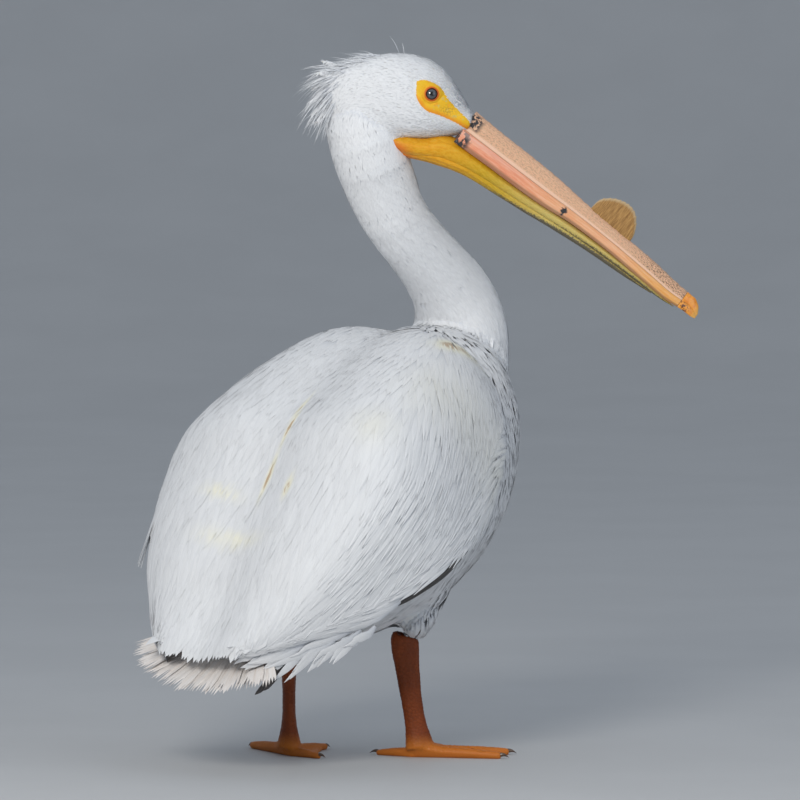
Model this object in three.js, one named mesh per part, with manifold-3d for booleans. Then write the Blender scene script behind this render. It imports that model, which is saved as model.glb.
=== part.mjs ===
// An adult American white pelican in breeding dress, standing on both feet with its wings folded,
// its neck in a shallow S and its head turned to its right.
//
// Millimetres, +Z up. The bird's body heads along +X and its left side is +Y. The floor is Z = 0.
// Every sub-part is one closed faceted solid; neighbours are parted by a gap of GAP.

import * as THREE from "three";
import { mergeVertices } from "three/addons/utils/BufferGeometryUtils.js";
import Module from "manifold-3d";

const wasm = await Module();
wasm.setup();

// ---------------------------------------------------------------- driving dimensions

const GAP = 0.3; // air between neighbouring solids
const BODY_PITCH = 38; // degrees that the trunk's axis rises towards the breast
const BODY_CENTRE = new THREE.Vector3(10, 0, 300);
const HEAD_TURN = 50; // degrees that the head is turned to the bird's right
const HEAD_PITCH = -16; // degrees of the skull's long axis, down towards the bill
const HEAD_DEPTH = 22; // how far the head's mid plane lies from the neck's foot, across the bill
const BILL_PITCH = -38.1; // degrees of the bill's axis
const BILL_LENGTH = 329; // from the forehead feathers to the front of the nail
const TOE_OUT = 38; // degrees that each foot is turned outwards

const EYE_RADIUS = 9.5;
const TARSUS_FOOT = {
  left: new THREE.Vector3(-28, 68, 0),
  right: new THREE.Vector3(49, -62, 0),
};
const ANKLE_HEIGHT = 134;
const TOE_THICKNESS = 13;
const WEB_THICKNESS = 3;

const RING_SIDES = 18;

// ---------------------------------------------------------------- vectors and curves

const radians = THREE.MathUtils.degToRad;
const vec = (x, y, z) => new THREE.Vector3(x, y, z);
const LEFT = vec(0, 1, 0);
const UP = vec(0, 0, 1);

const bodyForward = vec(Math.cos(radians(BODY_PITCH)), 0, Math.sin(radians(BODY_PITCH)));
const bodyDorsal = vec(-Math.sin(radians(BODY_PITCH)), 0, Math.cos(radians(BODY_PITCH)));
const headAhead = vec(Math.cos(radians(HEAD_TURN)), -Math.sin(radians(HEAD_TURN)), 0);
const headLeft = vec(Math.sin(radians(HEAD_TURN)), Math.cos(radians(HEAD_TURN)), 0);

// A point of the trunk: along its axis, to the left, and towards the back.
const bodyPoint = (along, left, dorsal) =>
  BODY_CENTRE.clone()
    .addScaledVector(bodyForward, along)
    .addScaledVector(LEFT, left)
    .addScaledVector(bodyDorsal, dorsal);

// A point of the head: ahead along the bill's plan direction, up from the floor, and to its left.
const headPoint = (ahead, height, left = 0) =>
  vec(0, 0, height)
    .addScaledVector(headAhead, ahead)
    .addScaledVector(headLeft, HEAD_DEPTH + left);

// Directions in the head's mid plane, at a pitch above the horizontal.
const headDirection = (pitch) =>
  headAhead
    .clone()
    .multiplyScalar(Math.cos(radians(pitch)))
    .addScaledVector(UP, Math.sin(radians(pitch)));

// A smooth curve through rows of three numbers, read at whole steps of its rows.
const through = (rows) =>
  new THREE.CatmullRomCurve3(
    rows.map((row) => vec(...row)),
    false,
    "catmullrom",
    0.5,
  );

// ---------------------------------------------------------------- solids

function solidFrom(geometry) {
  const bare = geometry.index ? geometry.toNonIndexed() : geometry.clone();
  bare.deleteAttribute("normal");
  bare.deleteAttribute("uv");
  const merged = mergeVertices(bare, 1e-3);
  return new wasm.Manifold(
    new wasm.Mesh({
      numProp: 3,
      vertProperties: merged.attributes.position.array,
      triVerts: new Uint32Array(merged.index.array),
    }),
  );
}

function geometryFrom(solid) {
  const mesh = solid.getMesh();
  const geometry = new THREE.BufferGeometry();
  geometry.setAttribute("position", new THREE.BufferAttribute(mesh.vertProperties, 3));
  geometry.setIndex(new THREE.BufferAttribute(mesh.triVerts, 1));
  geometry.computeVertexNormals();
  return geometry;
}

// A closed skin over rings of equally many points, with a fan at each end.
function loft(rings) {
  const sides = rings[0].length;
  const points = rings.flat();
  const faces = [];
  for (let i = 0; i + 1 < rings.length; i++) {
    for (let k = 0; k < sides; k++) {
      const a = i * sides + k;
      const b = i * sides + ((k + 1) % sides);
      faces.push(a, b + sides, b, a, a + sides, b + sides);
    }
  }
  const middle = (ring) =>
    ring.reduce((sum, p) => sum.add(p), vec(0, 0, 0)).divideScalar(sides);
  const last = (rings.length - 1) * sides;
  points.push(middle(rings[0]), middle(rings[rings.length - 1]));
  for (let k = 0; k < sides; k++) {
    const next = (k + 1) % sides;
    faces.push(points.length - 2, k, next);
    faces.push(points.length - 1, last + next, last + k);
  }
  const geometry = new THREE.BufferGeometry().setFromPoints(points);
  geometry.setIndex(faces);
  return solidFrom(geometry);
}

// One oval ring. square is 2 for an ellipse and more for a boxier oval; dip hollows its top.
const DIP_WIDTH = 42;
function oval(centre, side, up, halfWidth, top, bottom, square = 2, sides = RING_SIDES, dip = 0) {
  return Array.from({ length: sides }, (_, k) => {
    const turn = (2 * Math.PI * k) / sides;
    const [c, s] = [Math.cos(turn), Math.sin(turn)];
    const scale = (Math.abs(c) ** square + Math.abs(s) ** square) ** (-1 / square);
    const across = c * scale * halfWidth;
    const hollow = s > 0.3 ? dip * Math.exp(-((across / DIP_WIDTH) ** 2)) : 0;
    const rise = s * scale * (s > 0 ? top : bottom) - hollow;
    return centre.clone().addScaledVector(side, across).addScaledVector(up, rise);
  });
}

// A loft along the trunk's axis. Each row is [along, half width, lift, back, belly, squareness]:
// lift raises the ring's middle off the axis, back and belly reach from there.
function trunkLoft(rows, steps, sides, dip, grow = 0) {
  const size = through(rows.map(([, halfWidth, , back, belly]) => [halfWidth, back, belly]));
  const place = through(rows.map(([along, , lift, , , square]) => [along, lift, square]));
  const rings = Array.from({ length: steps + 1 }, (_, i) => {
    const reach = size.getPoint(i / steps);
    const { x, y, z } = place.getPoint(i / steps);
    const right = LEFT.clone().negate();
    const reaches = [reach.x + grow, reach.y + grow, reach.z + grow];
    return oval(bodyPoint(x, 0, y), right, bodyDorsal, ...reaches, z, sides, dip);
  });
  return loft(rings);
}

// A loft along a bent line. Each row is [point, half depth in the bend's plane, half breadth].
function tubeLoft(rows, sideAt, steps, sides = RING_SIDES, grow = 0) {
  const line = through(rows.map((row) => row[0].toArray()));
  const size = through(rows.map((row) => [row[1], row[2], row[3] ?? row[1]]));
  const rings = Array.from({ length: steps + 1 }, (_, i) => {
    const t = i / steps;
    const ahead = line
      .getPoint(Math.min(1, t + 1e-3))
      .sub(line.getPoint(Math.max(0, t - 1e-3)))
      .normalize();
    const wanted = sideAt(t);
    const side = wanted.clone().addScaledVector(ahead, -wanted.dot(ahead)).normalize();
    const up = side.clone().cross(ahead).normalize();
    const { x, y, z } = size.getPoint(t);
    return oval(line.getPoint(t), side, up, y + grow, x + grow, z + grow, 2, sides);
  });
  return loft(rings);
}

// A slab bounded by a closed outline in a plane, between two distances along its normal.
function slab(outline, origin, xAxis, yAxis, from, to) {
  const shape = new THREE.Shape(outline.map(([x, y]) => new THREE.Vector2(x, y)));
  const geometry = new THREE.ExtrudeGeometry(shape, { depth: to - from, bevelEnabled: false });
  const normal = xAxis.clone().cross(yAxis);
  geometry.translate(0, 0, from);
  geometry.applyMatrix4(new THREE.Matrix4().makeBasis(xAxis, yAxis, normal).setPosition(origin));
  return solidFrom(geometry);
}

// A big block on the far side of a plane, to cut with.
const HALF_SPACE = 900;
function beyond(point, normal) {
  const side = Math.abs(normal.z) > 0.9 ? vec(1, 0, 0) : UP;
  const x = side.clone().cross(normal).normalize();
  const y = normal.clone().cross(x);
  const square = [
    [-HALF_SPACE, -HALF_SPACE],
    [HALF_SPACE, -HALF_SPACE],
    [HALF_SPACE, HALF_SPACE],
    [-HALF_SPACE, HALF_SPACE],
  ];
  return slab(square, point, x, y, 0, HALF_SPACE);
}

// Booleans leave crumbs where two curved skins graze; the part is the largest piece.
function largest(solid) {
  return solid.decompose().reduce((best, piece) => (piece.volume() > best.volume() ? piece : best));
}

// ---------------------------------------------------------------- trunk, mantle and wings

const TRUNK_ROWS = [
  [-306, 34, 24, 5, 6, 2.4],
  [-288, 46, 23, 11, 14, 2.4],
  [-255, 58, 20, 22, 30, 2.3],
  [-205, 82, 14, 46, 60, 2.2],
  [-140, 108, 6, 88, 106, 2.2],
  [-60, 124, 0, 116, 146, 2.2],
  [30, 128, 0, 124, 170, 2.2],
  [105, 124, 0, 118, 176, 2.2],
  [170, 112, 0, 98, 154, 2.2],
  [225, 90, 0, 78, 112, 2.2],
  [258, 54, 0, 46, 64, 2.2],
  [268, 18, 0, 15, 20, 2.2],
];
const CLOAK_ROWS = [
  [-330, 40, 54, 6, 5, 2.4],
  [-312, 70, 47, 20, 14, 2.8],
  [-282, 98, 37, 40, 22, 3.3],
  [-252, 118, 29, 60, 30, 3.8],
  [-215, 141, 19, 90, 42, 4],
  [-165, 162, 8, 120, 56, 4.2],
  [-105, 178, 0, 148, 70, 4.2],
  [-50, 180, 0, 168, 82, 4],
  [20, 169, 0, 166, 90, 3.7],
  [80, 152, 0, 160, 94, 3.2],
  [140, 132, 0, 143, 84, 2.9],
  [182, 100, 0, 112, 62, 2.6],
  [198, 50, 0, 66, 34, 2.4],
];
const CLOAK_SIDES = 28;
const CLOAK_DIP = 14;

const trunkShape = (grow = 0) => trunkLoft(TRUNK_ROWS, 15, RING_SIDES, 0, grow);
const cloakShape = (grow = 0) => trunkLoft(CLOAK_ROWS, 16, CLOAK_SIDES, CLOAK_DIP, grow);

// The folded wing's outline seen from the side, in the trunk's own axes.
const WING_OUTLINE = through([
  [172, 70, 0],
  [158, 14, 0],
  [110, -32, 0],
  [50, -40, 0],
  [-19, -23, 0],
  [-76, -12, 0],
  [-136, -5, 0],
  [-190, -4, 0],
  [-240, -8, 0],
  [-283, -7, 0],
  [-320, 3, 0],
  [-360, 28, 0],
  [-330, 110, 0],
  [-200, 210, 0],
  [-90, 190, 0],
  [-40, 128, 0],
  [40, 110, 0],
  [120, 104, 0],
  [160, 96, 0],
  [172, 70, 0],
])
  .getPoints(40)
  .slice(1)
  .map((p) => [p.x, p.y]);
const WING_REACH = 260;
const TERTIAL_CUT = -120; // where the coverts end and the long tertials begin

// The outline moved outwards by an amount, corner by corner.
function grown(outline, amount) {
  const centre = outline.reduce(([x, y], p) => [x + p[0], y + p[1]], [0, 0]);
  const middle = new THREE.Vector2(...centre).divideScalar(outline.length);
  return outline.map((point, i) => {
    const before = new THREE.Vector2(...outline[(i + outline.length - 1) % outline.length]);
    const after = new THREE.Vector2(...outline[(i + 1) % outline.length]);
    const along = after.sub(before).normalize();
    const normal = new THREE.Vector2(along.y, -along.x);
    const outward = new THREE.Vector2(...point).sub(middle);
    const reach = normal.dot(outward) < 0 ? -amount : amount;
    return [point[0] + normal.x * reach, point[1] + normal.y * reach];
  });
}

// A block over one wing's outline, from an inset beside the mid plane outwards.
const wingBlock = (sign, inset, outline = WING_OUTLINE) =>
  slab(
    outline,
    BODY_CENTRE,
    bodyForward,
    bodyDorsal,
    sign > 0 ? -WING_REACH : inset,
    sign > 0 ? -inset : WING_REACH,
  );

// The dark flight feathers under a folded wing's rim, ending in the long primaries.
// [along the trunk, out, dorsal, half height, half thickness]
const FLIGHT_ROWS = [
  [34, 154, -38, 3, 3],
  [4, 163, -35, 7, 4],
  [-40, 170, -27, 9, 4],
  [-90, 172, -19, 9, 4],
  [-150, 159, -9, 6.5, 4],
  [-210, 135, -5, 8, 4],
  [-265, 105, -2, 11, 4],
  [-310, 82, 5, 12, 4],
  [-336, 70, 4, 5, 2.5],
];
const flightShape = (sign) =>
  tubeLoft(
    FLIGHT_ROWS.map(([along, out, dorsal, height, thick]) => [
      bodyPoint(along, sign * out, dorsal),
      height,
      thick,
    ]),
    () => LEFT.clone(),
    14,
    8,
  );

// ---------------------------------------------------------------- neck and head

// [centre, half depth in the neck's bend, half breadth]
const NECK_ROWS = [
  [vec(150, 0, 400), 90, 84],
  [vec(186, 0, 444), 80, 73],
  [vec(208, 0, 487), 63, 58],
  [vec(197, 0, 526), 52, 47],
  [vec(162, 0, 561), 43, 41],
  [vec(121, 0, 593), 40, 37],
  [vec(81, 0, 628), 41, 36],
  [vec(55, 0, 667), 44, 36],
  [headPoint(22, 702), 44, 36],
  [headPoint(13, 735), 41, 35],
  [headPoint(22, 762), 30, 28],
];
const NECK_STEPS = 18;
const NECK_CUTS = [0.4, 0.64]; // where the neck is parted into lengths
const neckSide = (t) =>
  vec(0, -1, 0).applyAxisAngle(UP, -radians(HEAD_TURN) * THREE.MathUtils.smoothstep(t, 0.35, 0.85));
const neckShape = (grow = 0) => tubeLoft(NECK_ROWS, neckSide, NECK_STEPS, RING_SIDES, grow);
const neckLine = through(NECK_ROWS.map((row) => row[0].toArray()));

// Everything further along the neck than a share of it, shifted by an inset.
function pastNeck(share, inset) {
  const tangent = neckLine.getTangent(share);
  return beyond(neckLine.getPoint(share).addScaledVector(tangent, inset), tangent);
}

// [along the skull from its middle, half width, top, bottom]
const HEAD_ROWS = [
  [-80, 8, 6, 16],
  [-69, 20, 20, 34],
  [-35, 31, 44, 46],
  [0, 35, 57, 46],
  [35, 34, 57, 38],
  [62, 29, 42, 29],
  [86, 25, 20, 18],
  [95, 22, 10, 13],
];
const HEAD_MIDDLE = headPoint(50, 761);

function headShape(grow = 0) {
  const ahead = headDirection(HEAD_PITCH);
  const up = headDirection(HEAD_PITCH + 90);
  const size = through(HEAD_ROWS.map((row) => row.slice(1)));
  const along = through(HEAD_ROWS.map((row) => [row[0], 0, 0]));
  const steps = 11;
  const rings = Array.from({ length: steps + 1 }, (_, i) => {
    const { x, y, z } = size.getPoint(i / steps);
    const centre = HEAD_MIDDLE.clone().addScaledVector(ahead, along.getPoint(i / steps).x);
    return oval(centre, headLeft.clone().negate(), up, x + grow, y + grow, z + grow, 2.2);
  });
  return loft(rings);
}

// The bare skin of the face, seen from the side as [ahead, height].
const FACE_OUTLINE = through([
  [77, 783, 0],
  [88, 784, 0],
  [104, 776, 0],
  [118, 757, 0],
  [133, 742, 0],
  [141, 731, 0],
  [136, 727, 0],
  [122, 735, 0],
  [104, 743, 0],
  [88, 749, 0],
  [77, 763, 0],
  [77, 783, 0],
])
  .getPoints(15)
  .slice(1)
  .map((p) => [p.x, p.y]);
const FACE_PROUD = 1.2;
const EYE_CENTRE = [93, 768];
const EYE_SPREAD = 26.5; // from the skull's mid plane to the middle of each eye

const faceBlock = (sign) =>
  slab(
    FACE_OUTLINE,
    headPoint(0, 0),
    headAhead,
    UP,
    sign > 0 ? -80 : 12,
    sign > 0 ? -12 : 80,
  );

const eyeShape = (sign, grow = 0) => {
  const ball = new THREE.IcosahedronGeometry(EYE_RADIUS + grow, 1);
  const centre = headPoint(EYE_CENTRE[0], EYE_CENTRE[1], sign * EYE_SPREAD);
  ball.translate(centre.x, centre.y, centre.z);
  return solidFrom(ball);
};

// The loose crest on the crown and nape: each lock from its root to its tip, as
// [ahead, height, to the left].
const CREST_LOCKS = [
  [[16, 812, 3], [0, 824, 4]],
  [[-2, 808, -4], [-22, 819, -6]],
  [[-14, 798, 4], [-39, 805, 8]],
  [[-20, 788, -6], [-47, 790, -12]],
  [[-23, 777, 7], [-51, 770, 12]],
  [[-24, 768, -3], [-53, 752, -5]],
  [[-22, 758, 5], [-51, 736, 8]],
  [[-20, 752, -7], [-47, 724, -12]],
];
const LOCK_ROOT = 6.5;
const LOCK_TIP = 1;
const crestShape = () =>
  CREST_LOCKS.map(([root, tip]) => {
    const [start, end] = [headPoint(...root), headPoint(...tip)];
    const middle = start.clone().lerp(end, 0.5).add(vec(0, 0, 3));
    const rows = [
      [start, LOCK_ROOT, LOCK_ROOT],
      [middle, LOCK_ROOT * 0.8, LOCK_ROOT * 0.7],
      [end, LOCK_TIP, LOCK_TIP],
    ];
    return tubeLoft(rows, () => headLeft.clone(), 3, 5);
  }).reduce((sum, lock) => sum.add(lock));

// ---------------------------------------------------------------- bill

const BILL_ROOT = headPoint(139, 727);
const billAhead = headDirection(BILL_PITCH);
const billUp = headDirection(BILL_PITCH + 90);
const billPoint = (along, left, rise) =>
  BILL_ROOT.clone()
    .addScaledVector(billAhead, along)
    .addScaledVector(headLeft, left)
    .addScaledVector(billUp, rise);

// [along, half width, ridge, edge]: the ridge and the cutting edge, above the bill's axis.
const UPPER_BILL_ROWS = [
  [-6, 24, 21, -23],
  [40, 22, 20, -21],
  [82, 20, 20, -20],
  [120, 18.5, 19, -18],
  [160, 17, 16, -13.5],
  [212, 17, 14, -12.5],
  [262, 17, 12, -14.5],
  [296, 14, 9, -15.5],
  [316, 11, 8, -13.5],
];
// Half of the upper bill's section: across as a share of the half width, rise from edge to ridge.
const UPPER_BILL_SECTION = [
  [0, 1],
  [0.3, 0.9],
  [0.46, 0.66],
  [0.56, 0.68],
  [0.86, 0.42],
  [1, 0.1],
  [0.9, 0],
  [0.4, 0.1],
  [0, 0.12],
];

function billRing(along, halfWidth, ridge, edge, section) {
  const half = section.map(([across, rise]) => [across * halfWidth, edge + rise * (ridge - edge)]);
  const other = half.slice(1, -1).reverse();
  return [
    ...half.map(([x, y]) => billPoint(along, x, y)),
    ...other.map(([x, y]) => billPoint(along, -x, y)),
  ];
}

function billLoft(rows, section, steps, grow = 0) {
  const size = through(rows.map((row) => row.slice(1)));
  const along = through(rows.map((row) => [row[0], 0, 0]));
  const rings = Array.from({ length: steps + 1 }, (_, i) => {
    const { x, y, z } = size.getPoint(i / steps);
    const ends = i === 0 ? -grow : i === steps ? grow : 0;
    const [halfWidth, ridge, edge] = [x + grow, y + grow, z - grow];
    return billRing(along.getPoint(i / steps).x + ends, halfWidth, ridge, edge, section);
  });
  return loft(rings);
}

const NAIL_ROWS = [
  [316 + GAP, 11, 8, -13.5],
  [327, 9.5, 7.5, -12.5],
  [336, 6.5, 3, -12.5],
  [341.5, 3, -5, -11.5],
];

// The horn: an upright plate of fibres on the ridge, rounded above.
const HORN_OUTLINE = [
  [168, 8],
  [166, 22],
  [171, 33],
  [183, 41],
  [199, 43],
  [213, 39],
  [221, 30],
  [224, 18],
  [222, 6],
];
const HORN_THICKNESS = 9;

// [middle, half height, half width]: the lower bill from its hinge to its tip.
const LOWER_BILL_ROWS = [
  [headPoint(46, 716), 6, 20],
  [headPoint(62, 709), 11, 24],
  [headPoint(86, 705), 12.5, 23],
  [headPoint(112, 703.5), 16.5, 22],
  [headPoint(139, 689), 12.5, 20],
  [headPoint(168, 669.5), 9.5, 18],
  [headPoint(204, 645), 8, 16],
  [headPoint(243, 620), 6.8, 15],
  [headPoint(282, 593.5), 5.5, 14],
  [headPoint(321, 564.5), 4.4, 13],
  [headPoint(345, 545.5), 3.4, 10],
  [headPoint(362, 531.5), 2, 5],
];
const lowerBillShape = (grow = 0) =>
  tubeLoft(LOWER_BILL_ROWS, () => headLeft.clone(), 14, 10, grow);

// The pouch, drawn up in folds between the two arms of the lower bill.
const POUCH_ROWS = [
  [headPoint(52, 705), 7, 12],
  [headPoint(70, 701), 7, 16],
  [headPoint(100, 694.5), 8, 17],
  [headPoint(134, 681.5), 7.5, 15],
  [headPoint(166, 662), 7, 13],
  [headPoint(202, 638), 6, 12],
  [headPoint(241, 613.5), 5, 11],
  [headPoint(280, 587.5), 4, 9],
  [headPoint(316, 561.5), 3, 6],
  [headPoint(332, 550), 1.8, 3],
];
const pouchShape = () => tubeLoft(POUCH_ROWS, () => headLeft.clone(), 10, 8);

// ---------------------------------------------------------------- tail

const TAIL_ROOT = vec(-176, 0, 174);
const TAIL_ROOT_HALF_WIDTH = 24;
const TAIL_FEATHERS = 12;
const TAIL_SPREAD = 82; // degrees from the first feather to the last
const TAIL_LENGTH = 144;
const TAIL_PITCH = -32;
const TAIL_YAW = 11; // degrees that the tail is swung to the bird's left
const TAIL_ROLL = 10; // degrees that its left edge is raised
const TAIL_THICKNESS = 6;

function tailShape(grow = 0) {
  const yaw = radians(180 - TAIL_YAW);
  const back = vec(Math.cos(yaw), Math.sin(yaw), 0)
    .multiplyScalar(Math.cos(radians(TAIL_PITCH)))
    .addScaledVector(UP, Math.sin(radians(TAIL_PITCH)));
  const side = UP.clone().cross(back).normalize().applyAxisAngle(back, -radians(TAIL_ROLL));
  const outline = [];
  const steps = 3 * TAIL_FEATHERS;
  for (let i = 0; i <= steps; i++) {
    const share = (2 * i) / steps - 1;
    const angle = (radians(TAIL_SPREAD) / 2) * share;
    const tip = i % 3 === 0 ? 0.94 : 1;
    const reach = TAIL_LENGTH * tip * (1 - 0.09 * share * share);
    outline.push([reach * Math.cos(angle), reach * Math.sin(angle) + TAIL_ROOT_HALF_WIDTH * share]);
  }
  outline.push([0, TAIL_ROOT_HALF_WIDTH], [0, -TAIL_ROOT_HALF_WIDTH]);
  const half = TAIL_THICKNESS / 2 + grow;
  return slab(grow ? grown(outline, grow) : outline, TAIL_ROOT, back, side, -half, half);
}

// ---------------------------------------------------------------- legs and feet

function thighShape(foot, sign, grow = 0) {
  const rows = [
    [vec(foot.x + 10, sign * 58, 262), 58, 44],
    [vec(foot.x + 6, sign * 60, 210), 50, 38],
    [vec(foot.x - 6, sign * 61, 166), 32, 25],
    [vec(foot.x - 14, sign * 62, 140), 19, 15],
  ];
  return tubeLoft(rows, () => LEFT.clone(), 6, 14, grow);
}

function footDirection(sign, offset) {
  const angle = radians(sign * (TOE_OUT + offset));
  return vec(Math.cos(angle), Math.sin(angle), 0);
}

function tarsusShape(foot, sign, grow = 0) {
  const out = footDirection(sign, 90);
  const ahead = footDirection(sign, 0);
  const at = (shift, height) => foot.clone().addScaledVector(ahead, shift).setZ(height);
  const rows = [
    [at(-16, ANKLE_HEIGHT + 12), 14, 10],
    [at(-16, ANKLE_HEIGHT), 17, 11],
    [at(-14, ANKLE_HEIGHT - 20), 15, 9],
    [at(-9, 74), 12.5, 7],
    [at(-4, 44), 12, 7.5],
    [at(-1, 28), 14, 10],
    [at(2, 12), 17, 14],
  ];
  return tubeLoft(rows, () => out.clone(), 8, 10, grow);
}

// Toes from the outer one to the hind one: [degrees inwards from the foot's axis, length, girth]
const TOES = [
  [-27, 98, 1],
  [0, 108, 1],
  [30, 84, 0.9],
  [138, 54, 0.8],
];
const CLAW_LENGTH = 11;

function toeShape(foot, sign, [inwards, length, girth]) {
  const ahead = footDirection(sign, -inwards);
  const half = (TOE_THICKNESS / 2) * girth;
  const at = (distance, height) => foot.clone().addScaledVector(ahead, distance).setZ(height);
  const rows = [
    [at(0, half * 1.75), half * 1.6, half * 1.75],
    [at(length * 0.3, half * 1.05), half, half * 1.1],
    [at(length * 0.65, half * 0.85), half * 0.9, half * 0.95],
    [at(length - 4, half * 0.6), half * 0.7, half * 0.75],
    [at(length + 3, half * 0.5), half * 0.5, half * 0.5],
  ];
  const toe = tubeLoft(rows, () => ahead.clone().cross(UP), 4, 6);
  return toe.subtract(beyond(at(length, 0), ahead));
}

function clawShape(foot, sign, [inwards, length, girth]) {
  const ahead = footDirection(sign, -inwards);
  const at = (distance, height) => foot.clone().addScaledVector(ahead, distance).setZ(height);
  const start = length - 2;
  const rows = [
    [at(start, 4.4), 2.6 * girth, 2 * girth],
    [at(start + CLAW_LENGTH * 0.5, 4.6), 2 * girth, 1.6 * girth],
    [at(start + CLAW_LENGTH, 2.4), 0.7, 0.6],
  ];
  const claw = tubeLoft(rows, () => ahead.clone().cross(UP), 3, 6);
  return claw.intersect(beyond(at(length + GAP, 0), ahead));
}

function footShape(foot, sign) {
  const tips = TOES.map(([inwards, length]) =>
    foot.clone().addScaledVector(footDirection(sign, -inwards), length * 0.93),
  );
  const outline = [foot.clone().addScaledVector(footDirection(sign, 180), 9)];
  tips.forEach((tip, i) => {
    outline.push(tip);
    if (i + 1 < tips.length) {
      const between = tip.clone().add(tips[i + 1]).multiplyScalar(0.5);
      outline.push(between.lerp(foot, 0.13));
    }
  });
  const web = slab(
    (sign > 0 ? outline.reverse() : outline).map((p) => [p.x, p.y]),
    vec(0, 0, 0),
    vec(1, 0, 0),
    LEFT,
    0,
    WEB_THICKNESS,
  );
  const toes = TOES.map((toe) => toeShape(foot, sign, toe));
  const body = toes.reduce((sum, toe) => sum.add(toe), web);
  return body.subtract(beyond(vec(0, 0, 0), vec(0, 0, -1)));
}

// ---------------------------------------------------------------- the parts, cut to meet

const feathers = { white: 0xeeeeec, black: 0x1c1b1c, cream: 0xe6dcd0 };
const finish = (color, roughness) =>
  new THREE.MeshStandardMaterial({ color, roughness, metalness: 0 });
const plumage = finish(feathers.white, 0.85);
const flightPlumage = finish(feathers.black, 0.6);
const tailPlumage = finish(feathers.cream, 0.8);
const upperHorn = finish(0xd9946a, 0.5);
const nailHorn = finish(0xe8821c, 0.4);
const hornPlate = finish(0xb98a4e, 0.75);
const lowerHorn = finish(0xc9a53a, 0.55);
const faceSkin = finish(0xf2b01e, 0.55);
const pouchSkin = finish(0xa88a3c, 0.6);
const eyeGloss = finish(0x1a1614, 0.05);
const legSkin = finish(0xc9581c, 0.6);
const clawHorn = finish(0x3a2a20, 0.5);

const bird = new THREE.Group();

function addPart(name, solid, material) {
  const mesh = new THREE.Mesh(geometryFrom(largest(solid)), material);
  mesh.name = name;
  bird.add(mesh);
}

const SIDES = [
  ["left", 1],
  ["right", -1],
];
const trunk = trunkShape();
const trunkRoom = trunkShape(GAP);
const cloak = cloakShape();
const cloakRoom = cloakShape(GAP);
const neck = neckShape();
const neckRoom = neckShape(GAP);
const headRoom = headShape(GAP);
const upperBillRoom = billLoft(UPPER_BILL_ROWS, UPPER_BILL_SECTION, 10, GAP);
const lowerBillRoom = lowerBillShape(GAP);
const tailRoom = tailShape(GAP);
const without = (solid, ...rooms) => rooms.reduce((left, room) => left.subtract(room), solid);

// Feathered body.
addPart("trunk", trunk, plumage);
const bothWings = SIDES.map(([, sign]) => wingBlock(sign, -GAP, grown(WING_OUTLINE, GAP)));
const belowMantle = beyond(bodyPoint(0, 0, 40), bodyDorsal.clone().negate());
addPart("mantle", without(cloak, ...bothWings, trunkRoom, neckRoom, belowMantle), plumage);
for (const [side, sign] of SIDES) {
  const wing = without(cloak.intersect(wingBlock(sign, GAP)), trunkRoom, neckRoom);
  const front = beyond(bodyPoint(TERTIAL_CUT + GAP, 0, 0), bodyForward);
  const rear = beyond(bodyPoint(TERTIAL_CUT, 0, 0), bodyForward.clone().negate());
  addPart(`wing_coverts_${side}`, wing.intersect(front), plumage);
  addPart(`wing_tertials_${side}`, wing.intersect(rear), plumage);
  const wingRoom = cloakRoom.intersect(wingBlock(sign, 0, grown(WING_OUTLINE, GAP)));
  const flight = without(flightShape(sign), trunkRoom, wingRoom, tailRoom);
  addPart(`flight_feathers_${side}`, flight, flightPlumage);
}
addPart("tail", without(tailShape(), trunkRoom, cloakRoom), tailPlumage);

// Neck and head.
const [lowCut, highCut] = NECK_CUTS;
addPart("neck_lower", without(neck, pastNeck(lowCut, 0), trunkRoom), plumage);
const middleNeck = without(neck.intersect(pastNeck(lowCut, GAP)), pastNeck(highCut, 0), trunkRoom);
addPart("neck_middle", middleNeck, plumage);
addPart("neck_upper", without(neck.intersect(pastNeck(highCut, GAP)), headRoom), plumage);
const faces = SIDES.map(([, sign]) => faceBlock(sign));
const eyes = SIDES.map(([, sign]) => eyeShape(sign, GAP));
const crestedHead = headShape().add(crestShape().subtract(neckRoom));
addPart("head", without(crestedHead, ...eyes), plumage);
SIDES.forEach(([side, sign], i) => {
  const proud = headShape(GAP + FACE_PROUD).intersect(faces[i]);
  addPart(`face_${side}`, without(proud, headRoom, upperBillRoom, eyes[i]), faceSkin);
  addPart(`eye_${side}`, eyeShape(sign), eyeGloss);
});

// Bill.
const upperBill = billLoft(UPPER_BILL_ROWS, UPPER_BILL_SECTION, 10);
addPart("upper_bill", without(upperBill, headRoom), upperHorn);
addPart("bill_nail", billLoft(NAIL_ROWS, UPPER_BILL_SECTION, 4), nailHorn);
const horn = slab(
  HORN_OUTLINE.toReversed(),
  BILL_ROOT,
  billAhead,
  billUp,
  -HORN_THICKNESS / 2,
  HORN_THICKNESS / 2,
);
addPart("bill_horn", without(horn, upperBillRoom), hornPlate);
addPart("lower_bill", without(lowerBillShape(), headRoom, neckRoom, upperBillRoom), lowerHorn);
addPart("pouch", without(pouchShape(), headRoom, neckRoom, lowerBillRoom), pouchSkin);

// Legs and feet.
for (const [side, sign] of SIDES) {
  const foot = TARSUS_FOOT[side];
  const thighRoom = thighShape(foot, sign, GAP);
  const footSolid = footShape(foot, sign);
  addPart(`thigh_${side}`, without(thighShape(foot, sign), trunkRoom), plumage);
  const leg = tarsusShape(foot, sign);
  addPart(`leg_${side}`, without(leg, thighRoom, trunkRoom), legSkin);
  addPart(`foot_${side}`, without(footSolid, tarsusShape(foot, sign, GAP)), legSkin);
  TOES.forEach((toe, i) => {
    addPart(`claw_${side}_${i + 1}`, clawShape(foot, sign, toe), clawHorn);
  });
}

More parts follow.
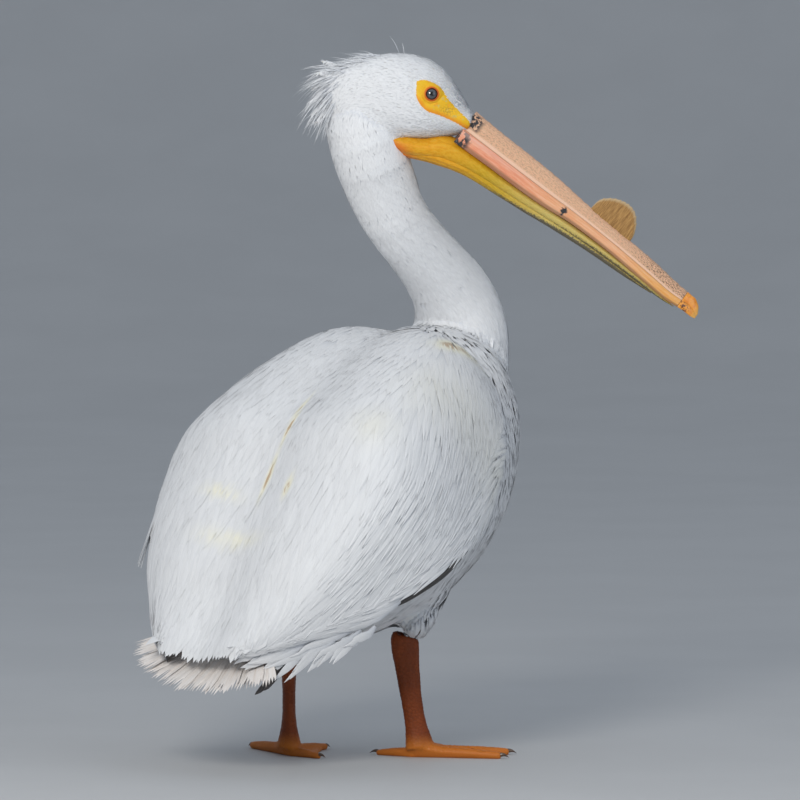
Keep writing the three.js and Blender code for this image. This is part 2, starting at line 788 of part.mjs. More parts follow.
// The row's origin is the middle of the bird's plan, on the floor.
const middle = new THREE.Box3().setFromObject(bird).getCenter(new THREE.Vector3());
bird.position.set(-middle.x, -middle.y, 0);

export default bird;
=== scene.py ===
"""An adult American white pelican in breeding dress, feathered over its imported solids.

Lengths are millimetres on the bird's own axes until place() turns them into the frame's metres.
"""

import math

import bmesh
import bpy
import numpy as np
from bpy.props import FloatProperty, FloatVectorProperty, IntProperty, PointerProperty
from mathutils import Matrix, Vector
from mathutils.bvhtree import BVHTree


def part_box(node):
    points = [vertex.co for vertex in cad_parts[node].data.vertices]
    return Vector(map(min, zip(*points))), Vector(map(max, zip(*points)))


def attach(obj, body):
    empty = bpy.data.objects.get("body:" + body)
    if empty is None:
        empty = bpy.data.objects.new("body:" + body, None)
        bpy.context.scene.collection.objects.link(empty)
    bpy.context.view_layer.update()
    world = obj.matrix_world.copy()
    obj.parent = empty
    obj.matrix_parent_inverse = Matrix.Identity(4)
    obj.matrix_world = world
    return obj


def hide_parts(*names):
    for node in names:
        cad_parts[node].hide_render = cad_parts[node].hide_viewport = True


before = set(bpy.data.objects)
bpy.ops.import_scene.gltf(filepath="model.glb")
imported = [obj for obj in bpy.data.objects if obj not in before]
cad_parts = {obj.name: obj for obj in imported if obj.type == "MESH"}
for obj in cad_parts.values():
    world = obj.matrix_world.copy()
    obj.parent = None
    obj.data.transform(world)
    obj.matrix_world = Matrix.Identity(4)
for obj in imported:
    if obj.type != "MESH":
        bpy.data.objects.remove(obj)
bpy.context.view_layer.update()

bl_info = {
    "name": "White Pelican",
    "version": (1, 0, 0),
    "blender": (4, 5, 0),
    "location": "3D View > Sidebar > Pelican",
    "description": "Skins, feathers and colours a standing American white pelican",
    "category": "Object",
}

MM = 0.001

# ---------------------------------------------------------------- the bird's axes

BODY_PITCH = math.radians(38)
HEAD_TURN = math.radians(50)
HEAD_PITCH = math.radians(-16)
BILL_PITCH = math.radians(-38.1)
HEAD_DEPTH = 22

LEFT = np.array([0.0, 1.0, 0.0])
UP = np.array([0.0, 0.0, 1.0])
FORWARD = np.array([math.cos(BODY_PITCH), 0.0, math.sin(BODY_PITCH)])
DORSAL = np.array([-math.sin(BODY_PITCH), 0.0, math.cos(BODY_PITCH)])
BODY_CENTRE = np.array([10.0, 0.0, 300.0])
AHEAD = np.array([math.cos(HEAD_TURN), -math.sin(HEAD_TURN), 0.0])
HEAD_LEFT = np.array([math.sin(HEAD_TURN), math.cos(HEAD_TURN), 0.0])


def body_point(along, left, dorsal):
    """A point of the trunk: along its axis, to the left, and towards the back."""
    along, left, dorsal = (np.asarray(x, float)[..., None] for x in (along, left, dorsal))
    return BODY_CENTRE + along * FORWARD + left * LEFT + dorsal * DORSAL


def head_point(ahead, height, left=0.0):
    """A point of the head: ahead of the neck's foot, up from the floor, and to its left."""
    ahead, height, left = (np.asarray(x, float)[..., None] for x in (ahead, height, left))
    return ahead * AHEAD + (HEAD_DEPTH + left) * HEAD_LEFT + height * UP


def head_direction(pitch):
    return AHEAD * math.cos(pitch) + UP * math.sin(pitch)


SKULL_AHEAD = head_direction(HEAD_PITCH)
BILL_AHEAD = head_direction(BILL_PITCH)
BILL_UP = head_direction(BILL_PITCH + math.pi / 2)
BILL_ROOT = head_point(139, 727)
HEAD_MIDDLE = head_point(50, 761)
EYE = (93, 768)
EYE_SPREAD = 26.5
EYE_RADIUS = 9.5
FOREHEAD_HALF_WIDTH = 8
# Heights over the floor where the feathers of the thigh end, and where the scaly shank does.
THIGH_FLOOR = 152
SHANK_TOP = 146
SOLE_TOP = 9


def box_middle(node):
    low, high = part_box(node)
    return np.array((low + high) / 2)


SHIFT = box_middle("eye_right") - head_point(*EYE, -EYE_SPREAD) * MM


def place(points):
    """The frame's metres, from millimetres on the bird's axes."""
    return np.asarray(points) * MM + SHIFT


def displaced(points):
    """Millimetres on the bird's axes, from the frame's metres."""
    return (np.asarray(points) - SHIFT) / MM


# ---------------------------------------------------------------- curves and small sums


def unit(vectors):
    return vectors / np.maximum(np.linalg.norm(vectors, axis=-1, keepdims=True), 1e-9)


def dot(a, b):
    return np.sum(a * b, axis=-1)


def ease(low, high, x):
    share = np.clip((np.asarray(x, float) - low) / (high - low), 0, 1)
    return share * share * (3 - 2 * share)


def mix(a, b, share):
    return a + (b - a) * share


def read_off(rows, x):
    """The second column of a table at places of its first, by straight lines."""
    return np.interp(x, *np.array(rows, float).T)


def even(count):
    """Even shares of a length, from 0 to 1."""
    return np.linspace(0, 1, count)


def circle(count):
    """Even turns round a circle, in radians."""
    return np.linspace(0, 2 * math.pi, count + 1)[:-1]


def through(rows, share):
    """A smooth curve through rows of numbers, read at shares of its length from 0 to 1."""
    rows = np.asarray(rows, float)
    ends = np.vstack([2 * rows[0] - rows[1], rows, 2 * rows[-1] - rows[-2]])
    reach = np.clip(np.asarray(share, float), 0, 1) * (len(rows) - 1)
    step = np.minimum(reach.astype(int), len(rows) - 2)
    f = (reach - step)[..., None]
    a, b, c, d = (ends[step + i] for i in range(4))
    return b + 0.5 * f * (c - a + f * (2 * a - 5 * b + 4 * c - d + f * (3 * (b - c) + d - a)))


def noise(seed, *shape):
    """Even random numbers from -1 to 1, the same each run."""
    return np.random.default_rng(seed).uniform(-1, 1, shape)


# ---------------------------------------------------------------- the forms under the coat

# [along the trunk, half width, lift, back, belly, squareness], as the cloak of both wings.
CLOAK_ROWS = [
    [-330, 40, 54, 6, 5, 2.4], [-312, 70, 47, 20, 14, 2.8], [-282, 98, 37, 40, 22, 3.3],
    [-252, 118, 29, 60, 30, 3.8], [-215, 141, 19, 90, 42, 4], [-165, 162, 8, 120, 56, 4.2],
    [-105, 178, 0, 148, 70, 4.2], [-50, 180, 0, 168, 82, 4], [20, 169, 0, 166, 90, 3.7],
    [80, 152, 0, 160, 94, 3.2], [140, 132, 0, 143, 84, 2.9], [182, 100, 0, 112, 62, 2.6],
    [198, 50, 0, 66, 34, 2.4],
]
CLOAK_DIP = 14
CLOAK_DIP_WIDTH = 42
# The folded wing's lower rim: [along, dorsal].
WING_RIM = [
    [-360, 28], [-320, 3], [-283, -7], [-240, -8], [-190, -4], [-136, -5], [-76, -12], [-19, -23],
    [50, -40], [110, -32], [141, -8], [159, 17], [198, 60],
]
# [along the trunk, out, dorsal, half height]: the dark flight feathers under the rim.
FLIGHT_ROWS = [
    [34, 154, -38, 3], [4, 163, -35, 7], [-40, 170, -27, 9], [-90, 172, -19, 9],
    [-150, 159, -9, 6.5], [-210, 135, -5, 8], [-265, 105, -2, 11], [-310, 82, 5, 12],
    [-336, 70, 4, 5],
]
# The middle line of the neck.
NECK_LINE = [
    [150, 0, 400], [186, 0, 444], [208, 0, 487], [197, 0, 526], [162, 0, 561], [121, 0, 593],
    [81, 0, 628], [55, 0, 667], list(head_point(22, 702)), list(head_point(13, 735)),
    list(head_point(22, 762)),
]
# The bare skin around the eye, seen from the side: [ahead, height].
FACE_OUTLINE = [
    [77, 783], [88, 784], [104, 776], [118, 757], [133, 742], [141, 731], [136, 727], [122, 735],
    [104, 743], [88, 749], [77, 763], [77, 783],
]
FACE_LOWER_EDGE = [[77, 763], [88, 749], [104, 743], [122, 735], [136, 727]]


def cloak_ring(share, turn, inset):
    """Points of the wings' cloak, inset under the coat. Turn 0 is the bird's right."""
    rows = through(CLOAK_ROWS, share)
    along, half, lift, back, belly, square = np.moveaxis(rows, -1, 0)
    c, s = np.cos(turn), np.sin(turn)
    scale = (np.abs(c) ** square + np.abs(s) ** square) ** (-1 / square)
    across = c * scale * np.maximum(half - inset, 2)
    dip = CLOAK_DIP * np.exp(-((across / CLOAK_DIP_WIDTH) ** 2)) * (s > 0.3)
    reach = np.maximum(np.where(s > 0, back, belly) - inset, 1)
    return body_point(along, -across, lift + s * scale * reach - dip)


class Cloak:
    """The wings' outer form as a grid: u from rear to front, v from the left rim to the right.

    v is -1 at the left rim and 1 at the right one, and the grid goes on to SPAN past them.
    Feathers leave the form where they pass REAR_END or RIM_END. HANG says how far the form
    hangs straight down past the rim: [along, millimetres].
    """

    SPAN = 1.12
    LOWEST_TURN = math.radians(-28)
    REAR_END = 0.055
    RIM_END = 1.03
    HANG = [[-335, 0], [-300, 12], [-265, 16], [-240, 15], [-200, 10], [-165, 5], [-130, 0]]

    def __init__(self, inset, rows=120, columns=181):
        turns = np.radians(np.linspace(90, -70, 400))
        self.points = np.zeros((rows, columns, 3))
        v = np.linspace(-self.SPAN, self.SPAN, columns)
        share = even(rows)[:, None]
        level = read_off(WING_RIM, cloak_along(share))
        sides = (math.pi - turns, turns)
        rings = [cloak_ring(share + 0 * turns, turn + 0 * share, inset) for turn in sides]
        paces = np.diff(rings[1], axis=1, prepend=rings[1][:, :1])
        arcs = np.cumsum(np.linalg.norm(paces, axis=2), axis=1)
        under = (dot(rings[1] - BODY_CENTRE, DORSAL) < level) | (turns < self.LOWEST_TURN)
        ends = arcs[np.arange(rows), np.argmax(under, axis=1)]
        ends = np.convolve(np.pad(ends, 4, "edge"), np.ones(9) / 9, "valid")
        # Towards the tail the coverts hang straight down past the rim.
        drop = read_off(self.HANG, cloak_along(share)[:, 0])
        self.arc = ends + drop
        for i in range(rows):
            for side, mine in enumerate((v < 0, v >= 0)):
                at = np.abs(v[mine]) * self.arc[i]
                hung = np.maximum(at - ends[i], 0) * min(1, drop[i] / 4)
                for k in range(3):
                    on_ring = np.interp(at - hung, arcs[i], rings[side][i, :, k])
                    self.points[i, mine, k] = on_ring - hung * DORSAL[k]
        du = np.gradient(self.points, axis=0)
        dv = np.gradient(self.points, axis=1)
        self.normals = unit(np.cross(dv, du))
        if dot(self.normals[rows // 2, columns // 2], DORSAL) < 0:
            self.normals *= -1

    def read(self, table, u, v):
        rows, columns = table.shape[:2]
        x = np.clip(u, 0, 1) * (rows - 1)
        y = np.clip((v / self.SPAN + 1) / 2, 0, 1) * (columns - 1)
        i = np.minimum(x.astype(int), rows - 2)
        j = np.minimum(y.astype(int), columns - 2)
        f, g = (x - i)[..., None], (y - j)[..., None]
        near = mix(table[i, j], table[i, j + 1], g)
        return mix(near, mix(table[i + 1, j], table[i + 1, j + 1], g), f)

    def at(self, u, v):
        return self.read(self.points, u, v), unit(self.read(self.normals, u, v))

    def trace(self, u, v, lie, length, steps):
        """Paths over the form from (u, v), each step along the direction lie(u, v, normal)."""
        u, v = u.copy(), v.copy()
        point, normal = self.at(u, v)
        path, ups = [point], [normal]
        heading = lie(u, v, normal)
        h = 2e-3
        for _ in range(steps - 1):
            pace = (length / (steps - 1))[:, None]
            wanted = heading * pace
            along_u = (self.read(self.points, u + h, v) - self.read(self.points, u - h, v)) / (2 * h)
            along_v = (self.read(self.points, u, v + h) - self.read(self.points, u, v - h)) / (2 * h)
            uu, vv, uv = dot(along_u, along_u), dot(along_v, along_v), dot(along_u, along_v)
            wu, wv = dot(wanted, along_u), dot(wanted, along_v)
            bottom = np.maximum(uu * vv - uv * uv, 1e-6)
            next_u = u + (wu * vv - wv * uv) / bottom
            next_v = v + (wv * uu - wu * uv) / bottom
            inside = (next_u > self.REAR_END) & (np.abs(next_v) < self.RIM_END)
            u, v = np.where(inside, next_u, u), np.where(inside, next_v, v)
            on_form, new_normal = self.at(u, v)
            beyond = path[-1] + unit(heading) * pace
            path.append(np.where(inside[:, None], on_form, beyond))
            ups.append(np.where(inside[:, None], new_normal, ups[-1]))
            heading = np.where(inside[:, None], lie(u, v, ups[-1]), heading)
        return np.stack(path, 1), np.stack(ups, 1)


# ---------------------------------------------------------------- meshes


def linked(name, data):
    """An object of the scene around a mesh, a light or a camera."""
    thing = bpy.data.objects.new(name, data)
    bpy.context.scene.collection.objects.link(thing)
    return thing


def discard(piece):
    """Takes a piece and its mesh out of the file."""
    old = piece.data
    bpy.data.objects.remove(piece)
    bpy.data.meshes.remove(old)


def mesh_from(name, points, faces):
    """A mesh object from points in millimetres and a list of face arrays, each of one size."""
    mesh = bpy.data.meshes.new(name)
    points = place(points).astype(np.float32)
    corners = np.concatenate([f.ravel() for f in faces]).astype(np.int32)
    sizes = np.concatenate([np.full(len(f), f.shape[1]) for f in faces])
    starts = np.insert(np.cumsum(sizes), 0, 0)[:-1].astype(np.int32)
    mesh.vertices.add(len(points))
    mesh.vertices.foreach_set("co", points.ravel())
    mesh.loops.add(len(corners))
    mesh.loops.foreach_set("vertex_index", corners)
    mesh.polygons.add(len(sizes))
    mesh.polygons.foreach_set("loop_start", starts)
    mesh.update(calc_edges=True)
    mesh.polygons.foreach_set("use_smooth", np.ones(len(sizes), bool))
    return linked(name, mesh)


def read_rows(rows, name, width, kind=np.float32):
    """One value or vector of each vertex, corner or triangle, as rows of an array."""
    values = np.zeros(len(rows) * width, kind)
    rows.foreach_get(name, values)
    return values.reshape(-1, width)


def read_points(mesh):
    return displaced(read_rows(mesh.vertices, "co", 3).astype(float))


def read_triangles(mesh):
    mesh.calc_loop_triangles()
    return read_rows(mesh.loop_triangles, "vertices", 3, np.int32)


def note(piece, name, values):
    """Keeps one number for each point of a piece, for its material to read."""
    kept = piece.data.attributes.new(name, "FLOAT", "POINT")
    kept.data.foreach_set("value", np.ascontiguousarray(values, np.float32).ravel())


def lay_out(piece, spots):
    """Writes the map that colours are kept on, from one spot for each point."""
    layer = piece.data.uv_layers.new(name="OFBake")
    corners = read_rows(piece.data.loops, "vertex_index", 1, np.int32)[:, 0]
    layer.data.foreach_set("uv", spots[corners].astype(np.float32).ravel())


def tube_faces(rings, sides):
    """Quads between rings of points, then the two end faces."""
    ring = np.arange(sides)
    after = (ring + 1) % sides
    steps = np.arange(rings - 1)[:, None] * sides
    quads = np.stack([steps + ring, steps + after, steps + sides + after, steps + sides + ring], -1)
    ends = np.stack([np.arange(sides)[::-1], (rings - 1) * sides + np.arange(sides)])
    return quads.reshape(-1, 4), ends


def outward(points, quads, ends):
    """Turns the faces round if the shape they close is inside out."""
    a, b, c, d = (points[quads[:, i]] for i in range(4))
    volume = np.sum(dot(a, np.cross(b, c)) + dot(a, np.cross(c, d)))
    for cap in ends:
        fan = points[cap]
        volume += np.sum(dot(fan[0], np.cross(fan[1:-1], fan[2:])))
    return (quads, ends) if volume > 0 else (quads[:, ::-1], ends[:, ::-1])


def loft(name, rings):
    """One closed tube over rings of points, shape (rings, sides, 3)."""
    count, sides = rings.shape[:2]
    points = rings.reshape(-1, 3)
    quads, ends = outward(points - points.mean(0), *tube_faces(count, sides))
    return mesh_from(name, points, [quads, ends])


def join(name, pieces):
    """One piece from several, which are used up."""
    bm = bmesh.new()
    for piece in pieces:
        bm.from_mesh(piece.data)
    mesh = bpy.data.meshes.new(name)
    bm.to_mesh(mesh)
    bm.free()
    for piece in pieces:
        discard(piece)
    return linked(name, mesh)


def applied(piece):
    """Turns what a piece's modifiers make into its plain mesh."""
    graph = bpy.context.evaluated_depsgraph_get()
    graph.update()
    made = bpy.data.meshes.new_from_object(piece.evaluated_get(graph))
    piece.modifiers.clear()
    old = piece.data
    piece.data = made
    bpy.data.meshes.remove(old)
    return piece


def finish_piece(piece, material, slot, *nodes):
    """Gives a piece its material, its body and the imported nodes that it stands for."""
    piece.data.materials.clear()
    piece.data.materials.append(material)
    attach(piece, "root")
    if nodes:
        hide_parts(*nodes)
    return piece


# ---------------------------------------------------------------- feathers

# Sections of a feather from its left edge over the shaft to its right edge: [across, rise].
BROAD = [[-1, 0], [-0.5, 0.72], [0, 1], [0.5, 0.72], [1, 0], [0, -0.25]]
STRAND = [[-1, 0], [0, 1], [1, 0], [0, -0.4]]
TUFT = [[-1, 0], [0, 1], [1, 0]]


def feather_points(path, up, half, crown, lift, section, roll=None):
    """Feathers over paths: half widths, crowns and lifts are given at each step of each path."""
    section = np.array(section, float)
    ahead = unit(np.gradient(path, axis=1))
    side = unit(np.cross(ahead, up))
    rise = unit(np.cross(side, ahead))
    width = half[..., None] * section[:, 0]
    height = lift[..., None] + crown[..., None] * section[:, 1]
    if roll is not None:
        height = height + roll[:, None, None] * width
    return path[:, :, None] + side[:, :, None] * width[..., None] + rise[:, :, None] * height[..., None]


def sheet_ends(ends):
    """Ends of a flat closed section, as strips between its upper and lower sides."""
    sides = ends.shape[1]
    half = sides // 2
    ends = np.stack([np.roll(end, -int(np.argmin(end))) for end in ends])
    j = np.arange(1, half - 1)
    quads = np.stack([ends[:, j], ends[:, j + 1], ends[:, sides - j - 1], ends[:, sides - j]], -1)
    return quads.reshape(-1, 4), np.concatenate([ends[:, [0, 1, -1]], ends[:, [half - 1, half, half + 1]]])


def feather_piece(name, points, section, spots, tone, marking=None):
    """Many feathers as one mesh, with the notes that their material reads."""
    count, rings, sides = points.shape[:3]
    flat = points.reshape(-1, 3)
    quads, ends = outward(points[0].reshape(-1, 3) - points[0].mean((0, 1)), *tube_faces(rings, sides))
    base = (np.arange(count) * rings * sides)[:, None, None]
    faces = [(base + quads).reshape(-1, 4)]
    for part in sheet_ends(ends) if sides > 8 else (ends,):
        faces.append((base + part).reshape(-1, part.shape[1]))
    piece = mesh_from(name, flat, faces)
    full = np.ones((count, rings, sides))
    share = even(rings)[None, :, None] * full
    across = np.array(section, float)[:, 0] * full
    note(piece, "share", share)
    note(piece, "across", across)
    note(piece, "tone", tone[:, None, None] * full)
    marking = np.zeros(count) if marking is None else marking
    note(piece, "marking", marking.reshape(*marking.shape, *(1,) * (3 - marking.ndim)) * full)
    patch = np.stack([across / 2, share - 0.5], -1) * 0.003
    lay_out(piece, (spots[:, None, None] + patch).reshape(-1, 2))
    # A thin edge is not rounded over in the shading.
    piece.data.set_sharp_from_angle(angle=math.radians(70))
    return piece


def lance(share, shoulder=0.3, tip=0.62, blunt=1.0):
    """A feather's width along its length: narrow at the root and drawn to a point or blunt."""
    rise = mix(0.45, 1.0, ease(0, shoulder, share))
    fall = np.clip((1 - share) / (1 - tip), 0, 1)
    return np.maximum(rise * fall**blunt, 0.02)


# ---------------------------------------------------------------- the skin


class Hide:
    """The skin's surface: nearest points, smooth normals and evenly scattered places."""

    def __init__(self, piece):
        mesh = piece.data
        self.points = read_points(mesh)
        self.faces = read_triangles(mesh)
        self.normals = read_rows(mesh.vertices, "normal", 3).astype(float)
        a, b, c = (self.points[self.faces[:, i]] for i in range(3))
        self.middles = (a + b + c) / 3
        self.areas = np.linalg.norm(np.cross(b - a, c - a), axis=1) / 2
        self.tree = BVHTree.FromPolygons(self.points.tolist(), self.faces.tolist(), all_triangles=True)

    def nearest(self, points):
        hits = [self.tree.find_nearest(p) for p in points.tolist()]
        found = np.array([hit[0][:] for hit in hits])
        face = np.array([hit[2] for hit in hits])
        a, b, c = (self.points[self.faces[face, i]] for i in range(3))
        whole = np.maximum(np.linalg.norm(np.cross(b - a, c - a), axis=1), 1e-9)
        share_a = np.linalg.norm(np.cross(b - found, c - found), axis=1) / whole
        share_b = np.linalg.norm(np.cross(c - found, a - found), axis=1) / whole
        shares = [share_a, share_b, np.clip(1 - share_a - share_b, 0, 1)]
        normal = sum(s[:, None] * self.normals[self.faces[face, i]] for i, s in enumerate(shares))
        return found, unit(normal)

    def scatter(self, keep, spacing, seed):
        """Places about a spacing apart on the kept faces."""
        rng = np.random.default_rng(seed)
        faces = np.nonzero(keep)[0]
        weight = self.areas[faces] / spacing[faces] ** 2
        count = int(weight.sum() * 3.2)
        chosen = faces[np.searchsorted(np.cumsum(weight) / weight.sum(), rng.uniform(0, 0.999999, count))]
        r, s = np.sqrt(rng.uniform(size=count)), rng.uniform(size=count)
        a, b, c = (self.points[self.faces[chosen, i]] for i in range(3))
        places = a * (1 - r)[:, None] + b * (r * (1 - s))[:, None] + c * (r * s)[:, None]
        cell = np.floor(places / (spacing[chosen] * 0.82)[:, None]).astype(np.int64)
        key = cell @ np.array([73856093, 19349663, 83492791])
        _, first = np.unique(key, return_index=True)
        return places[np.sort(first)]

    def trace(self, start, lie, length, steps):
        """Paths over the skin, each step along the direction lie(points, normals)."""
        point, normal = self.nearest(start)
        path, ups = [point], [normal]
        pace = (length / (steps - 1))[:, None]
        heading = lie(point, normal)
        for _ in range(steps - 1):
            ahead = path[-1] + heading * pace
            near, new = self.nearest(ahead)
            off = (np.linalg.norm(near - ahead, axis=1) > 0.7 * pace[:, 0]) | (dot(new, ups[-1]) < 0.35)
            path.append(np.where(off[:, None], ahead, near))
            ups.append(np.where(off[:, None], ups[-1], new))
            heading = np.where(off[:, None], heading, lie(path[-1], ups[-1]))
        return np.stack(path, 1), np.stack(ups, 1)


def on_surface(direction, normal):
    return unit(direction - dot(direction, normal)[..., None] * normal)


SWELL = 0.5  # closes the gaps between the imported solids


def flesh_copy(name, nodes):
    """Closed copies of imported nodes, slightly swollen."""
    bm = bmesh.new()
    for node in nodes:
        part = bmesh.new()
        part.from_mesh(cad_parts[node].data)
        bmesh.ops.remove_doubles(part, verts=part.verts, dist=2e-5)
        part.normal_update()
        for vertex in part.verts:
            vertex.co += vertex.normal * SWELL * MM
        mesh = bpy.data.meshes.new("part")
        part.to_mesh(mesh)
        part.free()
        bm.from_mesh(mesh)
        bpy.data.meshes.remove(mesh)
    mesh = bpy.data.meshes.new(name)
    bm.to_mesh(mesh)
    bm.free()
    return linked(name, mesh)


class Tree:
    """A geometry nodes tree, written from its input to its last Set Material."""

    def __init__(self, name, **inputs):
        self.tree = bpy.data.node_groups.new(name, "GeometryNodeTree")
        face = self.tree.interface
        face.new_socket("Geometry", in_out="OUTPUT", socket_type="NodeSocketGeometry")
        face.new_socket("Geometry", in_out="INPUT", socket_type="NodeSocketGeometry")
        for key, kind in inputs.items():
            face.new_socket(key, in_out="INPUT", socket_type="NodeSocket" + kind)
        self.entry = self.tree.nodes.new("NodeGroupInput").outputs

    def add(self, kind, inputs, **settings):
        node = self.tree.nodes.new(kind)
        for key, value in settings.items():
            setattr(node, key, value)
        for key, value in inputs.items():
            if isinstance(value, bpy.types.NodeSocket):
                self.tree.links.new(value, node.inputs[key])
            else:
                node.inputs[key].default_value = value
        return node.outputs

    def close(self, geometry, material):
        real = self.add("GeometryNodeRealizeInstances", {"Geometry": geometry})
        dress = self.add("GeometryNodeSetMaterial", {"Geometry": real["Geometry"], "Material": material})
        self.add("NodeGroupOutput", {"Geometry": dress["Geometry"]})
        return self.tree


def inset_tree(material):
    """Geometry nodes that shrink a closed form by a depth."""
    tree = Tree("Inset under the coat", Grain="Float", Depth="Float")
    form, grain, depth = (tree.entry[key] for key in ("Geometry", "Grain", "Depth"))
    double = tree.add("ShaderNodeMath", {0: depth, 1: 2}, operation="MULTIPLY")
    fill = tree.add(
        "GeometryNodeMeshToVolume", {"Mesh": form, "Voxel Size": grain, "Interior Band Width": double[0]},
        resolution_mode="VOXEL_SIZE",
    )
    wrap = tree.add(
        "GeometryNodeVolumeToMesh", {"Volume": fill["Volume"], "Voxel Size": grain, "Threshold": 0.5},
        resolution_mode="VOXEL_SIZE",
    )
    return tree.close(wrap["Mesh"], material)


def with_tree(piece, tree, **inputs):
    """Runs a tree on a piece with its named inputs set, and keeps the plain mesh."""
    modifier = piece.modifiers.new(tree.name, "NODES")
    modifier.node_group = tree
    for socket in tree.interface.items_tree:
        if socket.item_type == "SOCKET" and socket.in_out == "INPUT" and socket.name in inputs:
            modifier[socket.identifier] = inputs[socket.name]
    return applied(piece)


def fleshed(name, nodes, tree, grain, depth, polish):
    """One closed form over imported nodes, sunk under the coat and smoothed."""
    piece = flesh_copy(name, nodes)
    fuse = piece.modifiers.new("Fuse", "REMESH")
    fuse.mode = "VOXEL"
    fuse.voxel_size = min(grain, 2.5) * MM
    applied(piece)
    if depth > 0:
        with_tree(piece, tree, Grain=grain * MM, Depth=depth * MM)
    smooth = piece.modifiers.new("Polish", "SMOOTH")
    smooth.factor = 0.5
    smooth.iterations = polish
    return applied(piece)


def unite(piece, *others):
    """Joins closed pieces into the first, leaving one skin."""
    for other in others:
        cut = piece.modifiers.new("Unite", "BOOLEAN")
        cut.operation = "UNION"
        cut.solver = "MANIFOLD"
        cut.object = other
    applied(piece)
    for other in others:
        discard(other)
    return piece


LID_OPENING = 6.4


def eye_axes(sign):
    """The middle of an eye, the way it looks out, and two directions across it."""
    centre = head_point(*EYE, sign * EYE_SPREAD)
    out = unit(HEAD_LEFT * sign + AHEAD * 0.16 + UP * 0.02)
    ahead = unit(AHEAD - dot(AHEAD, out) * out)
    return centre, out, ahead, np.cross(out, ahead) * sign


def eyelid(sign):
    """A rolled ring of bare skin around an eye, with its furrow."""
    centre, out, ahead, up = eye_axes(sign)
    profile = through(
        [
            [LID_OPENING + 1.6, 4.5],
            [LID_OPENING + 0.1, 7.0],
            [LID_OPENING, 7.7],
            [LID_OPENING + 0.7, 8.2],
            [LID_OPENING + 1.8, 7.5],
            [LID_OPENING + 2.5, 6.6],
            [LID_OPENING + 3.4, 6.5],
            [LID_OPENING + 5.0, 4.7],
            [LID_OPENING + 7.0, 2.6],
            [LID_OPENING + 6.5, -2.0],
            [LID_OPENING + 2.5, -2.0],
            [LID_OPENING + 1.6, 4.5],
        ],
        even(34)[:-1],
    )
    turns = circle(72)
    wrinkle = 1 + 0.02 * np.sin(turns * 7 + 1) + 0.012 * np.sin(turns * 17)
    corner = 1 + 0.09 * np.cos(turns) ** 8
    reach = profile[None, :, 0] * np.where(profile[None, :, 0] > LID_OPENING + 1.2, wrinkle[:, None], 1)
    reach = reach * corner[:, None]
    rings = (
        centre
        + reach[..., None] * (np.cos(turns)[:, None, None] * ahead + np.sin(turns)[:, None, None] * up)
        + profile[None, :, 1, None] * out
    )
    sides = rings.shape[1]
    points = rings.reshape(-1, 3)
    quads, _ = tube_faces(len(turns), sides)
    ring = np.arange(sides)
    last = (len(turns) - 1) * sides
    seam = np.stack([last + ring, last + (ring + 1) % sides, (ring + 1) % sides, ring], -1)
    quads = np.concatenate([quads, seam])
    quads, _ = outward(points - centre, quads, np.zeros((0, sides), int))
    return mesh_from("eyelid", points, [quads])


def outline_distance(points, outline):
    """How far points of a plane lie inside a closed outline; negative outside it."""
    line = through(outline, even(80))
    start, end = line[:-1], line[1:]
    span = end - start
    offset = points[:, None] - start
    share = np.clip(dot(offset, span) / np.maximum(dot(span, span), 1e-9), 0, 1)
    gap = np.linalg.norm(offset - share[..., None] * span, axis=-1).min(1)
    crossed = (start[:, 1] > points[:, None, 1]) != (end[:, 1] > points[:, None, 1])
    with np.errstate(divide="ignore", invalid="ignore"):
        where = start[:, 0] + (points[:, None, 1] - start[:, 1]) / span[:, 1] * span[:, 0]
    inside = (crossed & (points[:, None, 0] < where)).sum(1) % 2 == 1
    return np.where(inside, gap, -gap)


def head_coordinates(points):
    """Ahead, height and left of the head's mid plane, for points on the bird's axes."""
    return np.stack([dot(points, AHEAD), points[:, 2], dot(points, HEAD_LEFT) - HEAD_DEPTH], -1)


BEYOND = 30.0  # further from the bare face and the lids than any of their colours


def mark_skin(skin):
    """Notes on the skin where it is bare, orange and scaled; low on the feet it is painted lighter orange,
    as painted light.
    """
    points = read_points(skin.data)
    place_on_head = head_coordinates(points)
    near = (place_on_head[:, 0] > 60) & (points[:, 2] > 700)
    bare = np.full(len(points), -BEYOND)
    bare[near] = outline_distance(place_on_head[near, :2], FACE_OUTLINE)
    bare[np.abs(place_on_head[:, 2]) < FOREHEAD_HALF_WIDTH] = -BEYOND
    note(skin, "bare", bare)
    rim = np.full(len(points), BEYOND)
    for sign in (1, -1):
        centre, out, ahead, up = eye_axes(sign)
        offset = points - centre
        reach = np.hypot(dot(offset, ahead), dot(offset, up))
        rim = np.where((dot(offset, out) > 0) & (reach < 20), np.minimum(rim, reach), rim)
    note(skin, "lid", rim)
    note(skin, "leg", 1 - ease(146, 156, points[:, 2]))
    # How far down the feet a point lies; there the skin is painted lighter orange, as painted light.
    note(skin, "foot", ease(30, 8, points[:, 2]))
    # The lower edge of the bare face is flushed orange, with small dark flecks before it.
    lower = read_off(FACE_LOWER_EDGE, place_on_head[:, 0])
    note(skin, "flush", ease(7, 1, points[:, 2] - lower))
    offset = (place_on_head[:, :2] - (113, 749)) / (10, 6)
    note(skin, "flecks", np.exp(-(offset**2).sum(1)))


# ---------------------------------------------------------------- materials


class Wire:
    """A socket of a material, for sums with other sockets and with numbers."""

    def __init__(self, paint, socket):
        self.paint, self.socket = paint, socket

    def __add__(self, other):
        return self.paint.sum("ADD", self, other)

    def __sub__(self, other):
        return self.paint.sum("SUBTRACT", self, other)

    def __mul__(self, other):
        return self.paint.sum("MULTIPLY", self, other)

    def __abs__(self):
        return self.paint.sum("ABSOLUTE", self)


